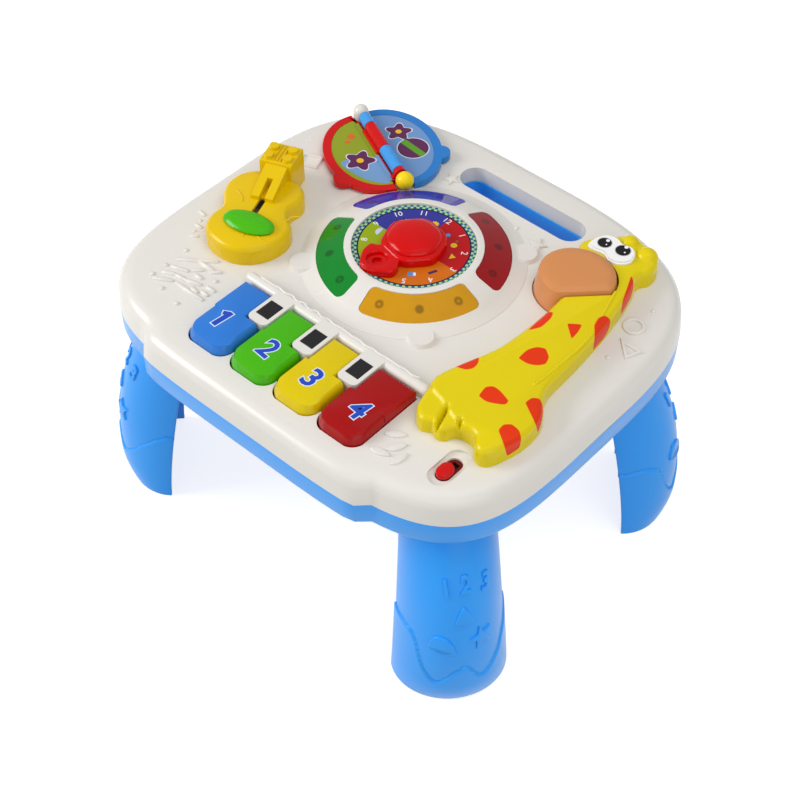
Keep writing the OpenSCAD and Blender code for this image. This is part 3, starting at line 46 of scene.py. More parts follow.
view_az, view_el, view_far = math.radians(41.773), math.radians(47.630), 1.025
view_aim = Vector((0.0349, -0.0410, 0.132))
view_dir = Vector((math.sin(view_az) * math.cos(view_el), -math.cos(view_az) * math.cos(view_el),
                   math.sin(view_el)))
camera = bpy.data.objects.new("camera", bpy.data.cameras.new("camera"))
camera.data.lens, camera.data.sensor_width = 72, 36
camera.data.clip_start, camera.data.clip_end = 0.01, 20
camera.location = view_aim + view_dir * view_far
camera.rotation_euler = view_dir.to_track_quat("Z", "Y").to_euler()
bpy.context.scene.collection.objects.link(camera)
bpy.context.scene.camera = camera
bpy.context.scene.view_settings.view_transform = "Standard"


def lamp(name, place, aim, size, watts):
    light = bpy.data.lights.new(name, "AREA")
    light.shape, light.size, light.energy = "SQUARE", size, watts
    holder = bpy.data.objects.new(name, light)
    holder.location = place
    holder.rotation_euler = (Vector(place) - Vector(aim)).to_track_quat("Z", "Y").to_euler()
    bpy.context.scene.collection.objects.link(holder)
    return holder


lamp("key_light", (-1.45, -1.25, 1.2), (0, 0, 0.15), 1.1, 28.0)
lamp("fill_light", (1.1, -0.6, 0.6), (0, 0, 0.12), 1.1, 4.2)
lamp("top_light", (0.45, 0.1, 1.6), (0, 0, 0.15), 1.0, 8.0).visible_glossy = False


def new_node(nodes, kind, values=(), **settings):
    """A shader node with its settings, and the constants on its sockets."""
    node = nodes.new("ShaderNode" + kind)
    for name, value in settings.items():
        setattr(node, name, value)
    for label, value in dict(values).items():
        node.inputs[label].default_value = value
    return node


world = bpy.data.worlds.new("studio")
bpy.context.scene.world = world
world.use_nodes = True
nt = world.node_tree
nt.nodes.clear()
out = new_node(nt.nodes, "OutputWorld")
room = new_node(nt.nodes, "Background", {"Color": (0.93, 0.96, 1.0, 1), "Strength": 0.45})
seen = new_node(nt.nodes, "Background", {"Color": (1, 1, 1, 1), "Strength": 1})
path, mix = new_node(nt.nodes, "LightPath"), new_node(nt.nodes, "MixShader")
for start, end in ((path.outputs["Is Camera Ray"], mix.inputs[0]),
                   (room.outputs[0], mix.inputs[1]), (seen.outputs[0], mix.inputs[2]),
                   (mix.outputs[0], out.inputs["Surface"])):
    nt.links.new(start, end)

bm = bmesh.new()
bmesh.ops.create_grid(bm, x_segments=1, y_segments=1, size=4)
floor_mesh = bpy.data.meshes.new("floor")
bm.to_mesh(floor_mesh)
bm.free()
floor = bpy.data.objects.new("floor", floor_mesh)
bpy.context.scene.collection.objects.link(floor)
paper = bpy.data.materials.new("paper_floor")
paper.use_nodes = True
nt = paper.node_tree
nt.nodes.clear()
out = new_node(nt.nodes, "OutputMaterial")
matt = new_node(nt.nodes, "BsdfPrincipled", {"Base Color": (0.52, 0.505, 0.49, 1),
                                             "Roughness": 0.9, "Specular IOR Level": 0.1})
glow = new_node(nt.nodes, "Emission", {"Strength": 0.76})
path, add, mix = (new_node(nt.nodes, kind) for kind in ("LightPath", "AddShader", "MixShader"))
seen_by = path.outputs["Is Camera Ray"]
for ray in ("Is Glossy Ray", "Is Transmission Ray"):
    either = new_node(nt.nodes, "Math", operation="ADD", use_clamp=True)
    nt.links.new(seen_by, either.inputs[0])
    nt.links.new(path.outputs[ray], either.inputs[1])
    seen_by = either.outputs[0]
for start, end in ((matt.outputs[0], add.inputs[0]), (glow.outputs[0], add.inputs[1]),
                   (seen_by, mix.inputs[0]), (matt.outputs[0], mix.inputs[1]),
                   (add.outputs[0], mix.inputs[2]), (mix.outputs[0], out.inputs["Surface"])):
    nt.links.new(start, end)
floor_mesh.materials.append(paper)

# ------------------------------------------------------------ white upper shell
# The ivory-white top is one injection moulding in glossy ABS, with a slight mottle and the
# fine texture of the mould. It is screwed to the blue shell from below.


def paint(r, g, b):
    return tuple(((c / 255 + 0.055) / 1.055) ** 2.4 if c > 10 else c / 255 / 12.92
                 for c in (r, g, b)) + (1,)


moulded_skin = bpy.data.node_groups.new("moulded_skin", "ShaderNodeTree")
for label, value in (("Mottle Scale", 30.0), ("Grain Scale", 1500.0), ("Roughness", 0.3),
                     ("Spread", 0.08), ("Grain", 0.1)):
    moulded_skin.interface.new_socket(label, in_out="INPUT",
                                      socket_type="NodeSocketFloat").default_value = value
moulded_skin.interface.new_socket("Mottle", in_out="OUTPUT", socket_type="NodeSocketFloat")
moulded_skin.interface.new_socket("Roughness", in_out="OUTPUT", socket_type="NodeSocketFloat")
moulded_skin.interface.new_socket("Normal", in_out="OUTPUT", socket_type="NodeSocketVector")
gn = moulded_skin.nodes
g_in, g_out = gn.new("NodeGroupInput"), gn.new("NodeGroupOutput")
coord = new_node(gn, "TexCoord")
cloud = new_node(gn, "TexNoise", {"Detail": 4})
grain = new_node(gn, "TexNoise", {"Detail": 2})
flow = new_node(gn, "TexNoise", {"Detail": 6, "Distortion": 1.5})
swing = new_node(gn, "Math", operation="MULTIPLY_ADD")
low = new_node(gn, "Math", {1: -0.5}, operation="MULTIPLY_ADD")
bump = new_node(gn, "Bump", {"Distance": 0.00006})
gl = moulded_skin.links.new
for noise in (cloud, grain, flow):
    gl(coord.outputs["Object"], noise.inputs["Vector"])
gl(g_in.outputs["Mottle Scale"], cloud.inputs["Scale"])
gl(g_in.outputs["Mottle Scale"], flow.inputs["Scale"])
gl(g_in.outputs["Grain Scale"], grain.inputs["Scale"])
gl(g_in.outputs["Spread"], low.inputs[0])
gl(g_in.outputs["Roughness"], low.inputs[2])
gl(flow.outputs["Fac"], swing.inputs[0])
gl(g_in.outputs["Spread"], swing.inputs[1])
gl(low.outputs[0], swing.inputs[2])
gl(grain.outputs["Fac"], bump.inputs["Height"])
gl(g_in.outputs["Grain"], bump.inputs["Strength"])
gl(cloud.outputs["Fac"], g_out.inputs["Mottle"])
gl(swing.outputs[0], g_out.inputs["Roughness"])
gl(bump.outputs["Normal"], g_out.inputs["Normal"])


def plastic(name, color, rough=0.28, shade=0.9, mottle=30.0, grain_size=1500.0, relief=0.1,
            coat=0.0, through=0.0, shine=0.3):
    """Moulded plastic: its colour drifts a little towards a darker tone of itself."""
    mat = bpy.data.materials.new(name)
    mat.use_nodes = True
    nodes, link = mat.node_tree.nodes, mat.node_tree.links.new
    body = nodes["Principled BSDF"]
    skin = new_node(nodes, "Group", {"Mottle Scale": mottle, "Grain Scale": grain_size,
                                     "Roughness": rough, "Spread": 0.4 * rough, "Grain": relief},
                    node_tree=moulded_skin)
    base = paint(*color)
    tone = new_node(nodes, "Mix", {"A": base, "B": tuple(c * shade for c in base[:3]) + (1,)},
                    data_type="RGBA")
    link(skin.outputs["Mottle"], tone.inputs["Factor"])
    link(tone.outputs["Result"], body.inputs["Base Color"])
    link(skin.outputs["Roughness"], body.inputs["Roughness"])
    link(skin.outputs["Normal"], body.inputs["Normal"])
    for label, value in (("Specular IOR Level", shine), ("Coat Weight", coat),
                         ("Coat Roughness", 0.06), ("Transmission Weight", through)):
        body.inputs[label].default_value = value
    mat["tone"] = tone.name
    return mat


def finish(node, mat):
    """Gives a node of the solids its material."""
    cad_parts[node].data.materials.clear()
    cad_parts[node].data.materials.append(mat)


def settle(name, bm, mat, body, crease=35.0, smooth=True):
    """Turns a bmesh in metres into a finished piece that rides on a body."""
    bmesh.ops.remove_doubles(bm, verts=bm.verts, dist=1e-6)
    bmesh.ops.recalc_face_normals(bm, faces=bm.faces)
    mesh = bpy.data.meshes.new(name)
    for f in bm.faces:
        f.smooth = smooth
    for e in bm.edges:
        if len(e.link_faces) == 2:
            e.smooth = e.calc_face_angle(0) < math.radians(crease)
    bm.to_mesh(mesh)
    bm.free()
    mesh.materials.append(mat)
    piece = bpy.data.objects.new(name, mesh)
    bpy.context.scene.collection.objects.link(piece)
    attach(piece, body)
    return piece


def eased(piece, width, segments=3, angle=40):
    """Rounds the arrises of a piece as a mould leaves them."""
    mod = piece.modifiers.new("eased", "BEVEL")
    mod.width, mod.segments = width * MM, segments
    mod.limit_method, mod.angle_limit = "ANGLE", math.radians(angle)
    mod.harden_normals = True
    mod.use_clamp_overlap = True


def refined(name, node, mat, body, width=0.5, segments=2, angle=40, crease=35.0,
            shaped=None):
    """A merged and smooth-shaded copy of a node, with its edges eased."""
    bm = bmesh.new()
    bm.from_mesh(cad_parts[node].data)
    bmesh.ops.remove_doubles(bm, verts=bm.verts, dist=2e-6)
    bmesh.ops.dissolve_limit(bm, angle_limit=math.radians(0.5), verts=bm.verts, edges=bm.edges)
    if shaped:
        shaped(bm)
    piece = settle(name, bm, mat, body, crease)
    if width:
        eased(piece, width, segments, angle)
    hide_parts(node)


ivory = plastic("ivory_shell", (228, 223, 215), rough=0.26, shade=0.95, mottle=9, relief=0.06,
                shine=0.5)
refined("upper_shell", "top_shell", ivory, "table", 0)

# ------------------------------------------------------------ blue lower shell
# The lower shell is a blue ABS moulding whose side stands below the white one. Its base,
# battery box, grille and bosses are left as the mould makes them.

shell_blue = plastic("shell_blue", (50, 164, 255), rough=0.3, shade=0.93, mottle=14)
refined("lower_shell", "bottom_shell", shell_blue, "table", 0)

# ------------------------------------------------------------ legs
# Four hollow bowed legs in the same blue plastic, each with a raised boot edge and shallow
# moulded shapes and the numbers 1 to 3 on its front. Two screws hold each from inside.

leg_blue = plastic("leg_blue", (42, 162, 255), rough=0.3, shade=0.92, mottle=12)
LEG_H, LEG_HIP, LEG_LOW, LEG_TOE = 148.0, 34.5, 22.0, 5.5
LEG_TAPER, LEG_REAR, LEG_BOW, FOOT_HALF, LEG_WALL = 8.7, 27.0, 37.5, 38.5, 2.6
LEG_X, LEG_SPLAY, FACE_INSET, FACE_R, SHAPE_SINK = 130.5, 40, 0.3, 40.0, 0.8
STEP_WIDTH, GROOVE_AT, GROOVE_WIDTH, GROOVE_DEPTH = 1.2, 0.6, 0.7, 0.6
boot_edge = [(-90, 58), (-84.5, 58), (-63.7, 59.8), (-50.2, 55.9), (-40.5, 37.4), (-31.2, 27.8),
             (-21.8, 24.4), (-8.6, 34.1), (7.2, 40.7), (20, 29), (30, 26.8), (47.3, 35.5),
             (60.5, 46.1), (80, 56.4), (90, 57)]


def smooth_loop(points, steps=8, closed=True):
    """A soft curve through the points, as a list of 2D vectors."""
    pts = [Vector((p[0], p[1], 0)) for p in points]
    n = len(pts)
    found = []
    for i in range(n if closed else n - 1):
        a, b = pts[i], pts[(i + 1) % n]
        before = pts[i - 1] if closed or i else a
        after = pts[(i + 2) % n] if closed or i + 2 < n else b
        found += interpolate_bezier(a, a + (b - before) / 6, b - (after - a) / 6, b,
                                    steps + 1)[:-1]
    if not closed:
        found.append(pts[-1])
    return [Vector((v.x, v.y)) for v in found]


boot_line = smooth_loop(boot_edge, 10, closed=False)


def leg_place(a, z, out=0.0):
    """The point of a leg's outer face at angle a and height z, in the leg's own frame."""
    if z > LEG_LOW:
        bow = LEG_BOW - LEG_HIP * ((z - LEG_LOW) / (LEG_H - LEG_LOW)) ** 2.2
    else:
        bow = LEG_BOW - LEG_TOE * ((LEG_LOW - z) / LEG_LOW) ** 2
    rear = -1 - LEG_REAR * (max(0, z) / LEG_H) ** 1.4
    c, s = math.cos(math.radians(a)), math.sin(math.radians(a))
    return Vector((rear + (bow - rear + out) * c, (FOOT_HALF - LEG_TAPER * z / LEG_H + out) * s,
                   z))


def boot_step(a, z):
    """How far the face stands back above the boot's edge: 0 inside the boot."""
    line = min(boot_line, key=lambda q: abs(q.x - a))
    side = max(0.0, min(1.0, (z - line.y) / STEP_WIDTH + 0.5))
    groove = math.exp(-((z - line.y - GROOVE_AT) / GROOVE_WIDTH) ** 2)
    return -1.0 * side * side * (3 - 2 * side) - GROOVE_DEPTH * groove


def at_leg(sx, y):
    splay = math.copysign(LEG_SPLAY, y)
    turn = math.radians(splay if sx > 0 else 180 - splay)
    return Matrix.Translation((sx * LEG_X, y, 0)) @ Matrix.Rotation(turn, 4, "Z")


def slab(outline, z0, z1, round_top=0.0, segments=4, holes=()):
    """An upright slab in mm with a rounded upper edge, as a bmesh."""
    bm = bmesh.new()
    loops = []
    for loop in (outline, *holes):
        verts = [bm.verts.new((p[0], p[1], z0)) for p in loop]
        loops += [bm.edges.new((verts[i - 1], verts[i])) for i in range(len(verts))]
    if holes:
        bmesh.ops.triangle_fill(bm, edges=loops, use_beauty=True)
        bmesh.ops.dissolve_limit(bm, angle_limit=0.01, verts=bm.verts, edges=bm.edges)
    else:
        bm.faces.new(bm.verts)
    bmesh.ops.recalc_face_normals(bm, faces=bm.faces)
    base = list(bm.faces)
    up = bmesh.ops.extrude_face_region(bm, geom=base)["geom"]
    bmesh.ops.translate(bm, vec=(0, 0, z1 - z0), verts=[v for v in up if isinstance(
        v, bmesh.types.BMVert)])
    bmesh.ops.recalc_face_normals(bm, faces=bm.faces)
    if round_top:
        rim = [e for e in bm.edges if all(v.co.z > z1 - 1e-4 for v in e.verts)
               and len(e.link_faces) == 2 and e.calc_face_angle(0) > 1]
        bmesh.ops.bevel(bm, geom=rim, offset=round_top, offset_type="OFFSET",
                        segments=segments, profile=0.5, affect="EDGES", material=-1,
                        loop_slide=False, clamp_overlap=True)
    return bm


def letter(text, size, thick, extra=0.0, soft=0.0):
    """Numbers as a solid bmesh in mm, centred on the origin, with their face up."""
    curve = bpy.data.curves.new("number", "FONT")
    curve.body, curve.size, curve.align_x, curve.align_y = text, size, "CENTER", "CENTER"
    curve.extrude, curve.offset, curve.resolution_u = thick / 2 - soft, extra - soft, 3
    curve.bevel_depth, curve.bevel_resolution = soft, 2
    holder = bpy.data.objects.new("number", curve)
    mesh = bpy.data.meshes.new_from_object(holder)
    bm = bmesh.new()
    bm.from_mesh(mesh)
    bpy.data.objects.remove(holder)
    bpy.data.curves.remove(curve)
    bpy.data.meshes.remove(mesh)
    bmesh.ops.remove_doubles(bm, verts=bm.verts, dist=1e-5)
    return bm


def star(r_out, r_in, tips, turn=0.0):
    return [(r * math.cos(turn + math.pi * k / tips), r * math.sin(turn + math.pi * k / tips))
            for k in range(2 * tips) for r in ((r_out if k % 2 == 0 else r_in),)]


def joined(parts):
    """One bmesh from several, each with its own matrix."""
    whole = bmesh.new()
    for bm, matrix in parts:
        bm.transform(matrix)
        mesh = bpy.data.meshes.new("part")
        bm.to_mesh(mesh)
        bm.free()
        whole.from_mesh(mesh)
        bpy.data.meshes.remove(mesh)
    return whole


def in_metres(bm, place=Matrix.Identity(4)):
    """A bmesh made in mm, set in its place and brought to metres."""
    bm.transform(Matrix.Scale(MM, 4) @ place)
    return bm


def on_leg(bm, a0, z0, tilt=0.0):
    """Bends a flat relief, made round the origin, onto the leg's face at a0, z0."""
    bmesh.ops.rotate(bm, cent=(0, 0, 0), matrix=Matrix.Rotation(math.radians(tilt), 3, "Z"),
                     verts=bm.verts)
    long = [e for e in bm.edges if e.calc_length() > 3]
    bmesh.ops.subdivide_edges(bm, edges=long, cuts=3, use_grid_fill=True)
    for v in bm.verts:
        a = a0 + math.degrees(v.co.x / FACE_R)
        v.co = leg_place(a, z0 + v.co.y, v.co.z - SHAPE_SINK)
    return bm


for leg_node, sx, leg_y in (("leg_front_left", -1, -100.0), ("leg_front_right", 1, -100.0),
                            ("leg_back_left", -1, 87.0), ("leg_back_right", 1, 87.0)):
    bm = bmesh.new()
    bmesh.ops.create_grid(bm, x_segments=100, y_segments=230, size=1)
    for v in bm.verts:
        a, z = 90 * v.co.x, FACE_INSET + (LEG_H - FACE_INSET) * (v.co.y + 1) / 2
        v.co = leg_place(a, z, boot_step(a, z) - FACE_INSET)
    top_rim = [e for e in bm.edges if all(v.co.z > LEG_H - 0.01 for v in e.verts)]
    bmesh.ops.contextual_create(bm, geom=top_rim)
    bmesh.ops.recalc_face_normals(bm, faces=bm.faces)
    outward = [f for f in bm.faces if abs(f.normal.z) < 0.9]
    if sum(f.normal.x for f in outward) < 0:
        bmesh.ops.reverse_faces(bm, faces=bm.faces)
    bm.transform(Matrix.Scale(MM, 4) @ at_leg(sx, leg_y))
    leg_piece = settle(leg_node.replace("leg_", "bowed_leg_"), bm, leg_blue, "table",
                       50)
    wall = leg_piece.modifiers.new("wall", "SOLIDIFY")
    wall.thickness, wall.offset = LEG_WALL * MM, -1
    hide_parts(leg_node)
    shapes = [(letter(text, 17, 1.8, 0.6, 0.6), a0, z0, tilt) for text, a0, z0, tilt in (
        ("1", -14, 106, 8), ("2", 8, 108, -3), ("3", 33, 104, -8))]
    shapes += [(slab(line, -0.9, 0.9, 0.7, 3), a0, z0, tilt) for line, a0, z0, tilt in (
        (smooth_loop([(0, 7), (-6.5, -5), (6.5, -5)], 6), 5, 86, 0),
        (smooth_loop([(-9, -7), (-9, 0), (-5, 5.5), (3, 5), (8, 0), (9, -7)], 5), -18, 63, -6),
        (star(9.5, 4.2, 5, 0.5), 24, 65, 0))]
    relief = in_metres(joined([(on_leg(bm, a0, z0, tilt), Matrix.Identity(4))
                               for bm, a0, z0, tilt in shapes]), at_leg(sx, leg_y))
    settle(leg_node + "_shapes", relief, leg_blue, "table", 50)

# ------------------------------------------------------------ moulded pattern of the top
# Shallow shapes stand out of the ivory shell: crossed sticks and dots, stars, a ring, a
# triangle, a square block and leaves. They are part of the same moulding.

TOP_Z, RELIEF_ROOT = 186.0, 0.8
pattern = []


def stick(x0, y0, x1, y1, r=1.7, z=TOP_Z):
    """A round-ended stick that lies half sunk in the top."""
    a, b = Vector((x0, y0, z)), Vector((x1, y1, z))
    bm = bmesh.new()
    bmesh.ops.create_uvsphere(bm, u_segments=12, v_segments=8, radius=r)
    for v in bm.verts:
        v.co = v.co.zyx
        v.co.x += (b - a).length / 2 * (1 if v.co.x > 0 else -1) if abs(v.co.x) > 1e-5 else 0
        v.co.z *= 0.85
    turn = Matrix.Rotation(math.atan2(y1 - y0, x1 - x0), 4, "Z")
    return bm, Matrix.Translation((a + b) / 2) @ turn


def dot(x, y, r, flat=0.75):
    bm = bmesh.new()
    bmesh.ops.create_icosphere(bm, subdivisions=2, radius=r)
    return bm, Matrix.Translation((x, y, TOP_Z)) @ Matrix.Diagonal((1, 1, flat, 1))


def raised(outline, x, y, turn=0.0, h=1.5, holes=()):
    bm = slab(outline, -RELIEF_ROOT, h, 0.8, 3, holes)
    return bm, Matrix.Translation((x, y, TOP_Z)) @ Matrix.Rotation(math.radians(turn), 4, "Z")


def ring_line(r, n=32, squash=1.0):
    return [(r * math.cos(2 * math.pi * k / n), squash * r * math.sin(2 * math.pi * k / n))
            for k in range(n)]


for ends in ((-121, -81.3, -110.6, -74.2), (-110.6, -74.2, -100.8, -66.5),
             (-108.2, -73.8, -97.2, -74), (-119.4, -95.7, -111.4, -92.4),
             (-111.4, -92.4, -103, -91.6), (-103, -91.6, -93.5, -88.8),
             (-119.4, -103.7, -109.9, -98.3), (-105.1, -97.4, -82.6, -97.4),
             (-118.7, -88.5, -108.8, -85.4), (-106, -82.1, -102.2, -78.4),
             (-101.6, -84.1, -97.1, -84.3), (-95.7, -75.8, -92.1, -72.3),
             (-95.3, -94, -90.1, -94.9), (-87.7, -87.1, -82.4, -87.1),
             (-87.5, -92.2, -83, -92.4)):
    pattern.append(stick(*ends))
for x, y in ((-123.8, -72.4), (-91.8, -110.1), (-109.2, -106.9), (-123.5, -101.7),
             (-88.1, -79.8), (-123.2, -90.5)):
    pattern.append(dot(x, y, 1.8))
# ring, triangle and dots on the right, stars and dots round the dial
pattern.append(raised(ring_line(7.4), 135.2, 64.8, holes=[ring_line(5)]))
pattern.append(raised([(-9.6, 4.2), (3.1, -8.1), (8.5, 4)], 144.4, 46.4,
                      holes=[[(-4, 1.9), (2.4, -4.3), (5.2, 1.8)]]))
for x, y, r in ((136, 84, 1.6), (138.9, 32.4, 1.6), (22.8, 87.6, 1.8), (-63, 105, 1.6),
                (66, 88, 1.7), (-62, 42, 1.8), (-70, 20, 1.5), (-72, 14, 1.5)):
    pattern.append(dot(x, y, r))
pattern.append(raised(star(7.5, 3.2, 5, 0.5), 43.3, 83))
pattern.append(raised(star(6, 2.6, 5, 0.1), -41, 97))
for ends in ((-77, 33, -72, 27), (-72, 27, -69, 33), (-69, 33, -65, 28), (-76, 22, -70, 24)):
    pattern.append(stick(*ends, r=1.3))
# a square block and dots behind the guitar
pattern.append(raised([(-8, -7), (8, -7), (8, 7), (-8, 7)], -127, 47, 20,
                      holes=[[(-5.4, -4.4), (5.4, -4.4), (5.4, 4.4), (-5.4, 4.4)]]))
pattern.append(dot(-120, 60, 2.2, flat=1.0))
# short rays beside the guitar
for ends in ((-144.8, -39.6, -140, -40.4), (-137.6, -50.5, -132.8, -50.6),
             (-131.3, -60.2, -128.2, -58.2), (-140, -14, -135, -13), (-139.5, 0, -134, 0),
             (-137, 12, -132, 10)):
    pattern.append(stick(*ends, r=1.3))
for x, y in ((-138, -46), (-133.5, -55.5), (-142, -6), (-141, 6)):
    pattern.append(dot(x, y, 1.4))
# leaves before the fourth key's bay
for x, y, turn in ((84, -100, 35), (91, -107, 60), (86, -116, 15), (98, -113, 80)):
    pattern.append(raised(smooth_loop([(-6.5, 0), (-2, 2.6), (3, 2.2), (7, 0), (3, -2.2),
                                       (-2, -2.6)], 4), x, y, turn, h=1.3))
settle("moulded_pattern", in_metres(joined(pattern)), ivory, "table", 45)

# ------------------------------------------------------------ carrying slot
# The lower shell has a thin blue collar that stands up inside the white slot and lines
# it. It is one moulding with that shell, with straight sides and round ends.


def long_ring(length, width, n=24):
    """An oval with straight sides, as a loop round the origin."""
    r = width / 2
    return [(math.copysign(length / 2 - r, math.cos(a)) + r * math.cos(a), r * math.sin(a))
            for a in (math.pi * (2 * k + 1) / (2 * n) for k in range(2 * n))]


SLOT_X, SLOT_Y, COLLAR_LOW, COLLAR_TOP = 10.0, 109.5, 150, 174.5
collar = in_metres(slab(long_ring(101.2, 21.2), COLLAR_LOW, COLLAR_TOP, 0, 1,
                        [long_ring(99.4, 19.4)]), Matrix.Translation((SLOT_X, SLOT_Y, 0)))
settle("slot_collar", collar, shell_blue, "table", 40)

# ------------------------------------------------------------ piano
# Four sprung ABS keys that tip on a steel rod, each with a printed blue number, and three
# black inserts on the white blocks between them. A scalloped bar covers the rod.

KEY_TOP, KEY_PITCH, KEY_LEN, KEY_X0 = 193.0, 36.6, 55.0, 2.7
KEY_FRONT, NUMBER_AT, NUMBER_TILT, NUMBER_SIZE = -125.8, 21, -6, 21
key_paint = ((48, 122, 210), (72, 180, 8), (222, 196, 2), (164, 4, 4))
ink_blue = plastic("number_ink", (34, 76, 190), rough=0.35, mottle=200, relief=0.02)
ink_white = plastic("outline_ink", (225, 235, 250), rough=0.35, mottle=200, relief=0.02)
for k in range(4):
    node = "key_%d" % (k + 1)
    body = node + "_body"
    slot = ("key_blue", "key_green", "key_yellow", "key_red")[k]
    skin = plastic(slot + "_plastic", key_paint[k], rough=0.22, shade=0.92, mottle=25)
    refined(node + "_cap", node, skin, body, 1.4, 4, 50)
    x = KEY_X0 + (k - 1.5) * KEY_PITCH + (-3.0, 0.0, 0.0, 1.5)[k]
    for label, mat, grow, z in (("outline", ink_white, 1.2, KEY_TOP + 0.02),
                                ("number", ink_blue, 0.5, KEY_TOP + 0.10)):
        if k:
            bm = letter(str(k + 1), NUMBER_SIZE, 0.12, grow)
        else:
            g = grow - 0.5
            bm = slab([(-1.9 - g, -7.5 - g), (1.9 + g, -7.5 - g), (1.9 + g, 7.5 + g),
                       (-0.9 - 0.4 * g, 7.5 + g), (-4.8 - 1.4 * g, 4.9), (-3.2 - 0.3 * g, 2.2 - g),
                       (-1.9 - g, 3 - 1.2 * g)], -0.06, 0.06)
        in_metres(bm, Matrix.Translation((x, KEY_FRONT + NUMBER_AT, z))
                  @ Matrix.Rotation(math.radians(NUMBER_TILT), 4, "Z"))
        settle("%s_%s" % (node, label), bm, mat, body, smooth=False)

black = plastic("black_insert", (38, 36, 38), rough=0.4, shade=0.7, mottle=60)
refined("short_keys", "key_inserts", black, "table", 0.5, 3, 40)

# scalloped outline along the bar behind the keys
BAR_Y, BAR_Z, BAR_HALF, WAVES, STOPS = KEY_FRONT + KEY_LEN + 7.6, TOP_Z + 7.1, 66, 0.085, 25


def bead(line, steps, r, z):
    """Round-ended sticks, end to end along a smooth line."""
    path = smooth_loop(line, steps, closed=False)
    return [stick(a.x, a.y, b.x, b.y, r, z) for a, b in zip(path, path[1:])]


scallop = []
for k in range(STOPS + 1):
    t = -BAR_HALF + 2 * BAR_HALF * k / STOPS
    rise = 1.9 * abs(math.sin(WAVES * t * math.pi)) * (1 if k % 2 else 0.6)
    scallop.append((KEY_X0 + t, BAR_Y + rise))
settle("bar_scallops", in_metres(joined(bead(scallop, 4, 0.85, BAR_Z))), ivory, "table",
       60)

# ------------------------------------------------------------ clock dial
# A printed disc under a clear varnish: four coloured quarters, the hours, and small
# pictures of everyday things, inside a thin navy ring and a chequered rim.

DIAL = Vector((-7.6, 20.1, 197.3))
HOUR_R, NAVY_R, EDGE_R, CHECK_R, INK = 32.6, 36.0, 37.0, 38.7, 0.06
disc_print = bpy.data.materials.new("dial_print")
disc_print.use_nodes = True
nodes, link = disc_print.node_tree.nodes, disc_print.node_tree.links.new
body = nodes["Principled BSDF"]
body.inputs["Roughness"].default_value = 0.35
body.inputs["Specular IOR Level"].default_value = 0.25
coord = new_node(nodes, "TexCoord")
centre = new_node(nodes, "Mapping", {"Location": (-DIAL.x * MM, -DIAL.y * MM, 0)},
                  vector_type="POINT")
link(coord.outputs["Object"], centre.inputs["Vector"])
split = new_node(nodes, "SeparateXYZ")
link(centre.outputs[0], split.inputs[0])


def sum_of(kind, a, b, c=None):
    n = new_node(nodes, "Math", operation=kind)
    for i, v in enumerate((a, b, c)):
        if isinstance(v, (int, float)):
            n.inputs[i].default_value = v
        elif v is not None:
            link(v, n.inputs[i])
    return n.outputs[0]


def blend_by(mask, a, b):
    n = new_node(nodes, "Mix", data_type="RGBA")
    link(mask, n.inputs["Factor"])
    for name, v in (("A", a), ("B", b)):
        if isinstance(v, tuple):
            n.inputs[name].default_value = paint(*v)
        else:
            link(v, n.inputs[name])
    return n.outputs["Result"]


radius = sum_of("SQRT", sum_of("ADD", sum_of("MULTIPLY", split.outputs[0], split.outputs[0]),
                               sum_of("MULTIPLY", split.outputs[1], split.outputs[1])), 0)
angle = sum_of("ARCTAN2", split.outputs[1], split.outputs[0])
right = sum_of("GREATER_THAN", split.outputs[0], 0.0)
upper = sum_of("GREATER_THAN", split.outputs[1], 0.0)
sectors = blend_by(upper, blend_by(right, (146, 168, 16), (206, 104, 14)),
                   blend_by(right, (52, 54, 146), (184, 14, 20)))
checks = sum_of("GREATER_THAN", sum_of("SINE", sum_of("MULTIPLY", angle, 60.0), 0), 0.0)
rows = sum_of("GREATER_THAN", radius, CHECK_R * MM)
flip = sum_of("ABSOLUTE", sum_of("SUBTRACT", checks, rows), 0)
rim = blend_by(flip, (30, 95, 135), (165, 205, 150))
navy = sum_of("GREATER_THAN", radius, NAVY_R * MM)
edge = sum_of("GREATER_THAN", radius, EDGE_R * MM)
link(blend_by(edge, blend_by(navy, sectors, (20, 26, 60)), rim), body.inputs["Base Color"])
finish("dial_disc", disc_print)

hour_white = plastic("hour_white", (240, 238, 235), rough=0.35, mottle=150, relief=0.02)
hours = []
for hour in range(1, 13):
    a = math.radians(90 - 30 * hour)
    hours.append((letter(str(hour), 6.2, 0.1, 0.02), Matrix.Translation(
        DIAL + Vector((HOUR_R * math.cos(a), HOUR_R * math.sin(a), INK)))
        @ Matrix.Rotation(a - math.pi / 2, 4, "Z")))
settle("dial_hours", in_metres(joined(hours)), hour_white, "table", smooth=False)


def flat_print(name, color, shapes, at, lift, rough, mottle, body):
    """Flat printed shapes of one colour: (outline, x, y, turn) from a place."""
    parts = [(slab(line, 0, INK), at @ Matrix.Translation((x, y, lift))
              @ Matrix.Rotation(math.radians(turn), 4, "Z")) for line, x, y, turn in shapes]
    mat = plastic(name + "_ink", color, rough=rough, mottle=mottle, relief=0.02)
    settle(name, in_metres(joined(parts)), mat, body, smooth=False)


def printed(name, color, shapes, lift=0.05):
    """A print on the dial, placed round its middle."""
    flat_print(name, color, shapes, Matrix.Translation(DIAL), lift, 0.35, 120, "table")


def box_line(w, h):
    return [(-w / 2, -h / 2), (w / 2, -h / 2), (w / 2, h / 2), (-w / 2, h / 2)]


def on_ring(r, hour):
    a = math.radians(90 - 30 * hour)
    return r * math.cos(a), r * math.sin(a), math.degrees(a) - 90


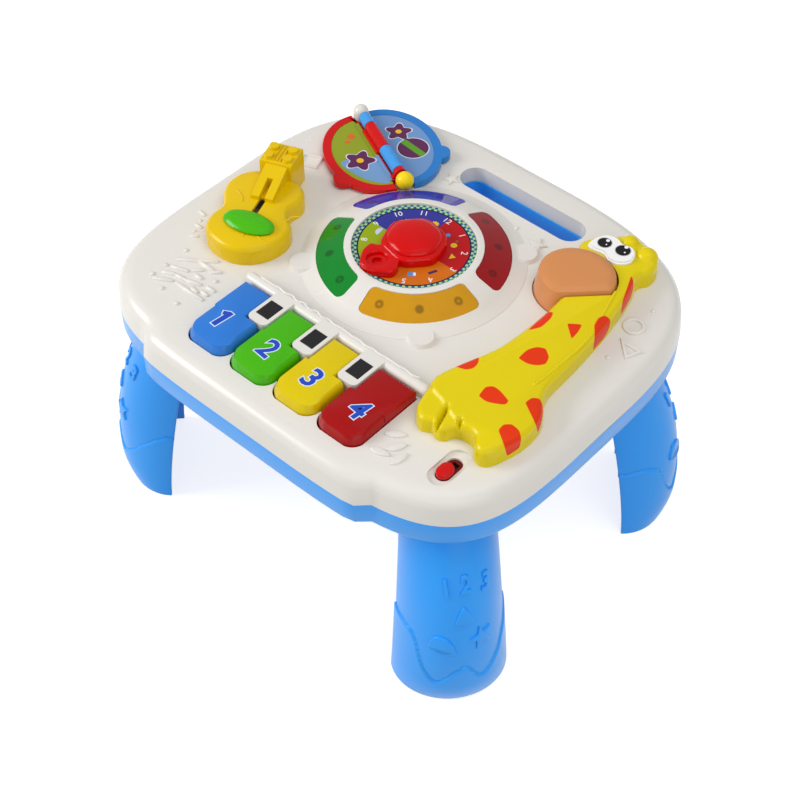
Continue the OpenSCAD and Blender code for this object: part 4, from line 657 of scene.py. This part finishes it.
puff = smooth_loop([(-3, -1.4), (-3.2, 0.4), (-1.6, 1.2), (0, 2), (1.8, 1.1), (3.2, 0.3),
                    (3, -1.4)], 4)
printed("dial_cloud", (235, 238, 245), [(puff, *on_ring(25, 10.2))])
printed("dial_sun", (240, 190, 30), [(star(3, 2.2, 10), *on_ring(25.4, 11.7)),
                                     (ring_line(2.2, 24), *on_ring(25.6, 1.55)),
                                     ([(-2.6, -1.6), (2.6, -1.6), (0, 2.2)],
                                      *on_ring(26.4, 2.35))])
printed("dial_leaf", (60, 130, 60), [(ring_line(0.9, 12), *on_ring(28, 1.3)),
                                     (ring_line(1.5, 12, 0.6), *on_ring(26.2, 5.7))])
printed("dial_car", (200, 210, 222), [(smooth_loop([(-3.2, -1.2), (-3, 0.6), (-1.2, 1.9),
                                                    (1.2, 1.9), (3, 0.6), (3.2, -1.2)], 4),
                                       *on_ring(27, 8.7))])
printed("dial_wheels", (30, 34, 50), [(ring_line(0.9, 12), -21.9, 15.1, 0),
                                      (ring_line(0.9, 12), -24.4, 10.9, 0)], lift=0.12)
printed("dial_book", (90, 150, 215), [(box_line(4.4, 3.6), *on_ring(26.2, 4.75)),
                                      (ring_line(1.6, 16), *on_ring(24.6, 12.75))])
printed("dial_page", (235, 238, 245), [(box_line(1.7, 2.8), *on_ring(26.2, 4.6))], lift=0.12)
printed("dial_train", (60, 46, 96), [(box_line(6, 2), *on_ring(26.8, 3.75))])

# ------------------------------------------------------------ pointer
# The red pointer is one glossy moulding: a knob with six soft lobes and an arm with a
# finger hollow. It turns on its shaft in the dial's bore and a screw holds it below.

POINTER_Z, POINTER_TURN, HOLLOW_X = 197.6, -102.0, 29.3
pointer_red = plastic("pointer_red", (214, 0, 0), rough=0.18, shade=0.86, mottle=30, coat=0.12,
                      shine=0.25)
knob_line = [((20.7 - 0.7 * math.cos(6 * a)) * math.cos(a), (20.7 - 0.7 * math.cos(6 * a))
              * math.sin(a)) for a in (2 * math.pi * k / 96 for k in range(96))]
skirt = slab(knob_line, 0, 6.6, 2.2, 5)
dome = bmesh.new()
crown = [(0.02, 11.9), (5, 11.75), (10, 11.2), (14, 10.2), (16.4, 9.0), (17.4, 7.8), (17.7, 6.4),
         (17.7, 3)]
verts = [dome.verts.new((x, 0, z)) for x, z in smooth_loop(crown, 3, closed=False)]
edges = [dome.edges.new(p) for p in zip(verts, verts[1:])]
bmesh.ops.spin(dome, geom=verts + edges, cent=(0, 0, 0), axis=(0, 0, 1), angle=2 * math.pi,
               steps=72, use_merge=True)
bmesh.ops.remove_doubles(dome, verts=dome.verts, dist=0.03)
for v in dome.verts:
    r = math.hypot(v.co.x, v.co.y)
    if r > 12 and v.co.z < 9.5:
        a = math.atan2(v.co.y, v.co.x)
        s = 1 - 0.014 * math.cos(6 * a)
        v.co.x *= s
        v.co.y *= s
paddle = smooth_loop([(12, -9), (17, -8.8), (21, -10.7), (24, -14.2), (30.7, -12.6),
                      (36.4, -7.9), (39.6, -3.6), (39.4, 1.2), (36.4, 8.0), (29.7, 15.0),
                      (24, 14.2), (20, 11), (16.5, 9), (12, 9)], 5)


def oval(rx, ry, n):
    """An oval round the middle of the finger hollow."""
    return [(HOLLOW_X + rx * math.cos(a), ry * math.sin(a))
            for a in (2 * math.pi * k / n for k in range(n))]


arm = slab(paddle, 0, 5.4, 1.5, 4, [oval(7.0, 6.6, 36)])
well = slab(oval(8.0, 7.6, 36), 0.1, 3.2, 0, 1, [oval(3.6, 3.3, 24)])
floor_disc = slab(oval(4.4, 4.2, 24), 0.1, 1.2)
turned = Matrix.Rotation(math.radians(POINTER_TURN), 4, "Z")
whole = in_metres(joined([(bm, turned) for bm in (skirt, dome, arm, well, floor_disc)]),
                  Matrix.Translation((DIAL.x, DIAL.y, POINTER_Z)))
knob = settle("clock_pointer", whole, pointer_red, "pointer_body", 38)
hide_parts("pointer")

# ------------------------------------------------------------ light windows
# Four clear coloured windows are let into the dome. Under each sit three small lamps; darker
# spots are painted where they sit, and the two outer spots get a lighter core, a painted
# highlight.

window_paint = (("window_red", 45, (164, 0, 8), "lens_red"),
                ("window_violet", 135, (62, 48, 178), "lens_violet"),
                ("window_green", 225, (4, 142, 40), "lens_green"),
                ("window_amber", 315, (222, 158, 0), "lens_amber"))
LAMP_R, LAMP_STEP = 54.5, 27
for node, heading, color, slot in window_paint:
    glass = plastic(node + "_plastic", color, rough=0.1, shade=0.85, mottle=70, relief=0.03,
                    coat=0.2, through=0.12)
    glass.node_tree.nodes["Principled BSDF"].inputs["IOR"].default_value = 1.49
    nodes, link = glass.node_tree.nodes, glass.node_tree.links.new
    coord = new_node(nodes, "TexCoord")
    spots = None
    for turn in (-LAMP_STEP, 0, LAMP_STEP):
        a = math.radians(heading + turn)
        place = new_node(nodes, "Mapping", {"Location": (
            -(DIAL.x + LAMP_R * math.cos(a)) * MM, -(DIAL.y + LAMP_R * math.sin(a)) * MM, 0)})
        link(coord.outputs["Object"], place.inputs["Vector"])
        flat = new_node(nodes, "VectorMath", operation="MULTIPLY")
        flat.inputs[1].default_value = (1, 1, 0)
        link(place.outputs[0], flat.inputs[0])
        far = new_node(nodes, "VectorMath", operation="LENGTH")
        link(flat.outputs[0], far.inputs[0])
        own = None
        # a darker disc over each lamp, and on the two outer lamps a lighter core painted as a
        # highlight
        for near, wide, depth in ((1.9, 3.6, 0.75), (0.4, 1.7, -0.5)):
            fade = new_node(nodes, "MapRange", {
                "From Min": near * MM, "From Max": wide * MM,
                "To Min": depth if turn or depth > 0 else 0.0, "To Max": 0.0},
                interpolation_type="SMOOTHSTEP")
            link(far.outputs["Value"], fade.inputs["Value"])
            own = fade.outputs[0] if own is None else sum_of("ADD", own, fade.outputs[0])
        spots = own if spots is None else sum_of("MAXIMUM", spots, own)
    dark = tuple(int(c * 0.55) for c in color)
    tone = nodes[glass["tone"]].outputs["Result"]
    link(blend_by(spots, tone, dark), nodes["Principled BSDF"].inputs["Base Color"])
    refined(node + "_cover", node, glass, "table", 1.2, 4, 45)

# ------------------------------------------------------------ drum book
# Two leaves turn on a steel pin between a white post and a yellow ball. Each is a moulded
# plate with a wide rim, a recessed printed card and a thumb tab, under coloured barrels.

DRUM, DRUM_TURN = Vector((-93.7, 84.8, 0)), -26.0
CARD_Z, STRIP_LIFT, STRIP_Y, STRIP_W = 191.62, 0.42, 6.55, 2.7
PETAL_WHITE, PLUM, HEART, SKY = (225, 228, 235), (96, 40, 84), (240, 190, 40), (120, 160, 205)
MEADOW, HIGH_SKY = (146, 160, 34), (112, 150, 200)
at_drum = Matrix.Translation(DRUM) @ Matrix.Rotation(math.radians(DRUM_TURN), 4, "Z")
leaf_red = plastic("leaf_red", (212, 6, 6), rough=0.2, shade=0.9, mottle=25)
leaf_blue = plastic("leaf_blue", (44, 124, 200), rough=0.22, shade=0.9, mottle=25)
barrel_blue = plastic("barrel_blue", (72, 158, 232), rough=0.2, shade=0.92, mottle=25)
refined("left_leaf", "red_leaf", leaf_red, "red_leaf_body", 0.9, 3, 40)
refined("right_leaf", "blue_leaf", leaf_blue, "blue_leaf_body", 0.9, 3, 40)
refined("red_barrels", "red_knuckles", leaf_red, "red_leaf_body", 0.3, 2, 50)
refined("blue_barrels", "blue_knuckles", barrel_blue, "blue_leaf_body", 0.3, 2, 50)
card = {"red": plastic("meadow_card", MEADOW, rough=0.4, shade=0.93, mottle=40),
        "blue": plastic("sky_card", HIGH_SKY, rough=0.4, shade=0.9, mottle=30)}
finish("red_pictures", card["red"])
finish("blue_pictures", card["blue"])


def on_card(name, color, shapes, side, lift=0.0):
    """A print on a leaf's card, placed along and across the hinge."""
    flat_print(name, color, shapes, at_drum @ Matrix.Translation((0, 0, CARD_Z)), lift, 0.4, 90,
               side + "_leaf_body")


def bloom(size):
    """A flower of five petals."""
    return [(r * math.cos(a), r * math.sin(a)) for a in (math.pi * k / 30 for k in range(60))
            for r in (size * (1 + 0.23 * math.cos(5 * a)),)]


on_card("hill_sky", SKY, [(smooth_loop(
    [(6, -7.6), (20, -7.4), (34, -8), (33, -14), (26, -22), (14, -29), (4, -32), (2, -26),
     (10, -17)], 4), 0, 0, 0)], "red")
# each card reaches over the leaf's straight rim up to the barrels
for name, color, length, x, y, side in (
        ("meadow_strip", MEADOW, 38, -13.5, -STRIP_Y, "red"),
        ("meadow_sky_strip", SKY, 28, 19.5, -STRIP_Y, "red"),
        ("sky_strip", HIGH_SKY, 66, 0.5, STRIP_Y, "blue")):
    on_card(name, color, [(box_line(length, STRIP_W), x, y, 0)], side, STRIP_LIFT)
for name, color, r, size, lift in (("balloon_edge", PETAL_WHITE, 11.4, 8.4, 0.0),
                                   ("balloon", PLUM, 10.7, 7.6, 0.07)):
    on_card(name, color, [(ring_line(r, 48), 7, 20, 0), (bloom(size), -13.5, 17.5, 10)], "blue",
            lift)
on_card("balloon_band", (96, 158, 40), [(box_line(20.8, 5), 7, 20, 20)], "blue", 0.14)
on_card("bloom_heart", HEART, [(ring_line(2.2, 20), -13.5, 17.5, 0)], "blue", 0.14)
on_card("meadow_bloom_edge", PETAL_WHITE, [(bloom(9.4), 6, -18.8, 0)], "red", 0.07)
on_card("meadow_bloom", PLUM, [(bloom(8.6), 6, -18.8, 0)], "red", 0.14)
on_card("meadow_heart", HEART, [(ring_line(2.5, 20), 6, -18.8, 0)], "red", 0.2)
on_card("meadow_ladybird", (232, 100, 40), [(ring_line(2.6, 20), -21, -15, 0),
                                            (ring_line(1.7, 16), -16.5, -19.5, 0)], "red", 0.07)

yellow_ball = plastic("ball_yellow", (248, 216, 14), rough=0.22, shade=0.95, mottle=40)
refined("hinge_ball", "end_ball", yellow_ball, "table", 0, crease=60)

# ------------------------------------------------------------ guitar
# A hollow yellow moulding with a sloping forked neck, screwed on from below. The green
# oval pick slides in its slot. Low ribs of the same moulding mark the body.

GUITAR, GUITAR_TURN, GUITAR_Z = Vector((-101.0, -38.0, 0)), 21.0, 200.0
guitar_yellow = plastic("guitar_yellow", (232, 194, 0), rough=0.24, shade=0.9, mottle=18)
refined("guitar_shell", "guitar_body", guitar_yellow, "table", 1.0, 4, 42)
pick_green = plastic("pick_green", (74, 186, 6), rough=0.2, shade=0.9, mottle=40)
refined("strum_pick", "guitar_slider", pick_green, "strum_body", 0.3, 2, 60)
at_guitar = Matrix.Translation(GUITAR) @ Matrix.Rotation(math.radians(GUITAR_TURN), 4, "Z")
# a rib along the pick, and ribs beside the waist and below the pick
for name, lines, mat, body, slot, z, r, place in (
        ("pick_ribs", (((-13, 1.4), (-5, 2.6), (6, 2.4), (14, 1.0)),), pick_green,
         "strum_body", "green", GUITAR_Z + 4.2, 0.45, at_guitar),
        ("guitar_ribs", (((-129.6, -18.8), (-125.6, -19.7), (-121.6, -21.8), (-118.8, -24.3)),
                         ((-95.5, -45.4), (-94.3, -48.2)),
                         ((-86.7, -41.9), (-82.8, -43.0), (-80.0, -42.2)),
                         ((-83.5, -19.0), (-83.2, -13.5), (-80.0, -10.4))),
         guitar_yellow, "table", "yellow", GUITAR_Z, 0.6, Matrix.Identity(4))):
    parts = [(bm, place @ m) for line in lines for bm, m in bead(line, 5, r, z)]
    settle(name, in_metres(joined(parts)), mat, body, 60)

# ------------------------------------------------------------ giraffe
# A hollow yellow moulding with pad-printed orange spots that run down its sides, a bead
# along the mane, a white eye piece with printed pupils, and a skin-coloured push button.

# a flat side of a spot: how far a point of the body lies inside it
side = bpy.data.node_groups.new("spot_side", "ShaderNodeTree")
side.interface.new_socket("Normal", in_out="INPUT", socket_type="NodeSocketVector")
side.interface.new_socket("Offset", in_out="INPUT", socket_type="NodeSocketFloat")
side.interface.new_socket("Depth", in_out="OUTPUT", socket_type="NodeSocketFloat")
s_in, s_out = side.nodes.new("NodeGroupInput"), side.nodes.new("NodeGroupOutput")
s_at = new_node(side.nodes, "TexCoord")
s_dot = new_node(side.nodes, "VectorMath", operation="DOT_PRODUCT")
s_gap = new_node(side.nodes, "Math", operation="SUBTRACT")
side.links.new(s_at.outputs["Object"], s_dot.inputs[0])
side.links.new(s_in.outputs["Normal"], s_dot.inputs[1])
side.links.new(s_dot.outputs["Value"], s_gap.inputs[0])
side.links.new(s_in.outputs["Offset"], s_gap.inputs[1])
side.links.new(s_gap.outputs[0], s_out.inputs["Depth"])

# corners of each spot in the plane of the body's top; a spot runs down a side along DOWN
GIRAFFE_Z, DOWN = 200.0, Vector((0.45, -0.50, 0.74))
SPOT_INSET, SPOT_ROUND, SPOT_BLUR = 0.35, 1.6, 0.15
spots = (((110.8, 27.6), (114, 30.6), (117.3, 32.4), (119.3, 27), (119.8, 19.9)),
         ((106.7, -14.5), (106.3, -5.9), (109.3, -0.2), (113.8, 1.8), (119.3, -2.2), (121.2, -7.5),
          (118.5, -11.8), (113.2, -14.6)),
         ((108.5, -53.7), (107.1, -46.3), (109.8, -42.9), (114.3, -42.7), (123.6, -45.8),
          (124.1, -48.8), (119.9, -52), (113.9, -54.5)),
         ((82.5, -44.9), (84.8, -36.1), (88.6, -30.7), (91, -34.4), (91.4, -39), (89, -42.7)),
         ((96.2, 8.4), (95.4, 19), (95.3, 27.9), (97.8, 29.1), (99.7, 25), (100, 14.9)),
         ((123.4, 37.9), (121.7, 44.6), (123.6, 48.4), (127.9, 48.1), (132, 43.5), (135, 35.9),
          (136.2, 22.8)),
         ((114.7, 87.4), (118.8, 84.5), (125.5, 75.4), (128.6, 66.5), (130.3, 58.6),
          (124.3, 65.9), (121, 75)),
         ((132.3, -40), (132.8, -34.8), (136.3, -32.6), (140.9, -35.1), (148.7, -44.9),
          (152.6, -52.3), (145.5, -47.5)),
         ((134.2, -67), (133.6, -62.1), (136.8, -58.8), (142.6, -59.5), (148, -63.7),
          (151.9, -69.3), (150.7, -78.3), (144, -74)))
giraffe_skin = plastic("giraffe_yellow", (226, 204, 0), rough=0.22, shade=0.92, mottle=16)
nodes, link = giraffe_skin.node_tree.nodes, giraffe_skin.node_tree.links.new
depth = None
for corners in spots:
    line = [Vector((*corners[i], GIRAFFE_Z)) for i in convex_hull_2d(
        [Vector(p) for p in corners])]
    middle = sum(line, Vector()) / len(line)
    own = None
    for a, b in zip(line, line[1:] + line[:1]):
        inward = (b - a).cross(DOWN).normalized()
        if inward.dot(middle - a) < 0:
            inward.negate()
        wall = new_node(nodes, "Group", {"Normal": inward,
                                         "Offset": (inward.dot(a) - SPOT_INSET) * MM},
                        node_tree=side)
        own = (wall.outputs[0] if own is None
               else sum_of("SMOOTH_MIN", own, wall.outputs[0], SPOT_ROUND * MM))
    depth = own if depth is None else sum_of("MAXIMUM", depth, own)
crisp = new_node(nodes, "MapRange", {"From Min": -SPOT_BLUR * MM, "From Max": SPOT_BLUR * MM})
link(depth, crisp.inputs["Value"])
tone = nodes[giraffe_skin["tone"]].outputs["Result"]
link(blend_by(crisp.outputs[0], tone, (226, 52, 0)),
     nodes["Principled BSDF"].inputs["Base Color"])


def reach(p, line):
    """Distance from p to a line of points, and the side of it that p lies on."""
    best = None
    for a, b in zip(line, line[1:]):
        along = Vector(b) - Vector(a)
        t = max(0.0, min(1.0, (p - Vector(a)).dot(along) / along.length_squared))
        gap = p - (Vector(a) + t * along)
        if best is None or gap.length < best[0]:
            best = gap.length, along.x * gap.y - along.y * gap.x
    return best


def toes(bm):
    """Sinks the two left toes below the body and parts them with grooves."""
    step = ((84, -66), (87, -67.1), (93, -68.5), (99.6, -71.6), (110.7, -75.5), (116, -82))
    grooves = (((98.9, -71.8), (102.2, -81.5), (104.6, -90.0)), ((111.6, -75.0), (115, -80)))
    low, high = Vector((78, -93)), Vector((118, -64))
    step_sink, groove_sink, groove_half, rise = 2.2, 5.5, 1.25, 13.5

    def inside():
        return [f for f in bm.faces if all(
            low.x - 0.5 < v.co.x / MM < high.x + 0.5 and low.y - 0.5 < v.co.y / MM < high.y + 0.5
            for v in f.verts)]

    for axis, places in ((0, (low.x, high.x)), (1, (low.y, high.y))):
        for place in places:
            bmesh.ops.bisect_plane(bm, geom=bm.verts[:] + bm.edges[:] + bm.faces[:],
                                   plane_co=[place * MM] * 3,
                                   plane_no=(1 - axis, axis, 0), dist=1e-7)
    for axis in (0, 1):
        for k in range(1, int(high[axis] - low[axis])):
            faces = inside()
            edges = list({e for f in faces for e in f.edges})
            verts = list({v for f in faces for v in f.verts})
            bmesh.ops.bisect_plane(bm, geom=verts + edges + faces, dist=1e-7,
                                   plane_co=[(low[axis] + k) * MM] * 3,
                                   plane_no=(1 - axis, axis, 0))
    for v in {v for f in inside() for v in f.verts}:
        p = Vector((v.co.x, v.co.y)) / MM
        far, turn = reach(p, step)
        past = max(0.0, min(1.0, far / step_sink)) if turn < 0 else 0.0
        sink = step_sink * past * past * (3 - 2 * past)
        for groove in grooves:
            sink += groove_sink * math.exp(-(reach(p, groove)[0] / groove_half) ** 2)
        v.co.z -= sink * MM * max(0.0, min(1.0, (v.co.z / MM - TOP_Z - 0.5) / rise))


refined("giraffe_shell", "giraffe_body", giraffe_skin, "table", 0.5, 3, 75, 55, toes)

mane = [part for line in (((127.0, -25), (127.9, -16), (128.2, 3.4), (128.3, 16.8), (126.8, 31.8)),
                          ((123.6, 39.5), (121.4, 49.4), (117.8, 61.8), (115.6, 69.5)))
        for part in bead(line, 8, 1.15, GIRAFFE_Z - 0.15)]
settle("mane_bead", in_metres(joined(mane)), giraffe_skin, "table", 60)

eye_white = plastic("eye_white", (244, 243, 240), rough=0.16, shade=0.95, mottle=40, coat=0.3)
refined("eye_piece", "giraffe_eyes", eye_white, "table", 0.8, 4, 40)
EYE_Z = GIRAFFE_Z + 2.5
for name, color, discs, lift in (
        ("pupil_edge", (190, 188, 190), ((84.7, 99.4, 5.0), (97.8, 101.2, 5.3)), 0.02),
        ("pupils", (24, 20, 22), ((84.7, 99.4, 4.5), (97.8, 101.2, 4.8)), 0.08),
        ("pupil_lights", (250, 250, 250), ((85.1, 102.3, 1.2), (97.7, 105.0, 1.3),
                                           (86.6, 98.6, 0.55), (99.8, 100.3, 0.6)), 0.14)):
    flat_print(name, color, [(ring_line(r, 40), x, y, 0) for x, y, r in discs],
               Matrix.Translation((0, 0, EYE_Z)), lift, 0.15, 120, "table")

nose_skin = plastic("nose_skin", (212, 140, 84), rough=0.26, shade=0.93, mottle=18)
refined("nose_cap", "nose_button", nose_skin, "nose_body", 0, crease=32)

# ------------------------------------------------------------ power switch
# The red plastic knob rides in a recess of the top and moves a slide switch, which hangs
# by two screws below. A red guard closes the recess round the knob; its red is set darker than the
# knob's as painted shade of the recess.

switch_red = plastic("switch_red", (206, 8, 8), rough=0.24, shade=0.88, mottle=60)
refined("power_knob", "switch_knob", switch_red, "switch_knob_body", 0.9, 3, 45)
SWITCH_X, SWITCH_Y, GUARD_LOW, GUARD_TOP = 123.5, -98.0, 181.7, 182.5
guard = in_metres(slab(long_ring(19.4, 9.4), GUARD_LOW, GUARD_TOP, 0, 1, [box_line(15, 4.8)]),
                  Matrix.Translation((SWITCH_X, SWITCH_Y, 0))
                  @ Matrix.Rotation(math.pi / 2, 4, "Z"))
# the guard's darker red is painted shade of the recess
settle("switch_dust_guard", guard, plastic("guard_red_painted_shade", (120, 4, 4), rough=0.4, mottle=60),
       "table", 40)

# ------------------------------------------------------------ battery door
# The door is a flat blue ABS plate that lies in a rebate of the lower shell's underside.
# One screw in its ear holds it.

finish("battery_door", shell_blue)

# ------------------------------------------------------------ metal parts
# The screws, the keys' rod and the drum's pin are zinc-plated steel, the speaker's basket
# is pressed steel, and the battery springs are nickel-plated.


def metal(name, color, rough=0.32, fleck=400.0):
    mat = plastic(name, color, rough, shade=0.85, mottle=fleck, grain_size=3000, relief=0.12)
    mat.node_tree.nodes["Principled BSDF"].inputs["Metallic"].default_value = 1.0
    return mat


zinc = metal("zinc_plate", (196, 198, 202))
for node in ("key_axle", "hinge_pin", "board_screws", "pointer_screw", "lamp_screws",
             "figure_screws", "switch_screws", "speaker_screws", "door_screw", "shell_screws",
             "leg_screws"):
    finish(node, zinc)
finish("speaker_frame", metal("speaker_steel", (150, 152, 156), 0.4))
finish("battery_contacts", metal("nickel_spring", (205, 200, 188), 0.22))

# ------------------------------------------------------------ electronics
# Green-lacquered boards, grey silicone domes, a resin blob over the sound chip, clear
# lamps, the slide switch, a paper cone speaker with its clamp, and three wrapped cells.

lacquer = plastic("board_lacquer", (22, 84, 44), rough=0.3, shade=0.75, mottle=240)
for node in ("main_board", "lamp_board", "nose_board"):
    finish(node, lacquer)
silicone = plastic("grey_silicone", (120, 122, 126), rough=0.6, mottle=80, relief=0.2)
for node in ("key_pads", "nose_pad"):
    finish(node, silicone)
finish("sound_chip", plastic("chip_resin", (18, 18, 20), rough=0.25))
finish("lamp_leds", plastic("lamp_epoxy", (226, 228, 226), rough=0.1, shade=0.95, coat=0.6,
                            through=0.5))
finish("pointer_wiper", plastic("contact_disc", (196, 170, 96), rough=0.4))
finish("slider_clip", plastic("clip_acetal", (232, 232, 226), rough=0.35))
finish("switch_body", plastic("switch_case", (34, 34, 36), rough=0.45))
finish("speaker_cone", plastic("cone_paper", (40, 38, 36), rough=0.85, shade=0.7, mottle=500,
                               relief=0.4))
finish("speaker_clamp", plastic("clamp_abs", (210, 208, 202), rough=0.4))
finish("battery_cells", plastic("cell_wrap", (44, 92, 56), rough=0.3, shade=0.85, mottle=60))
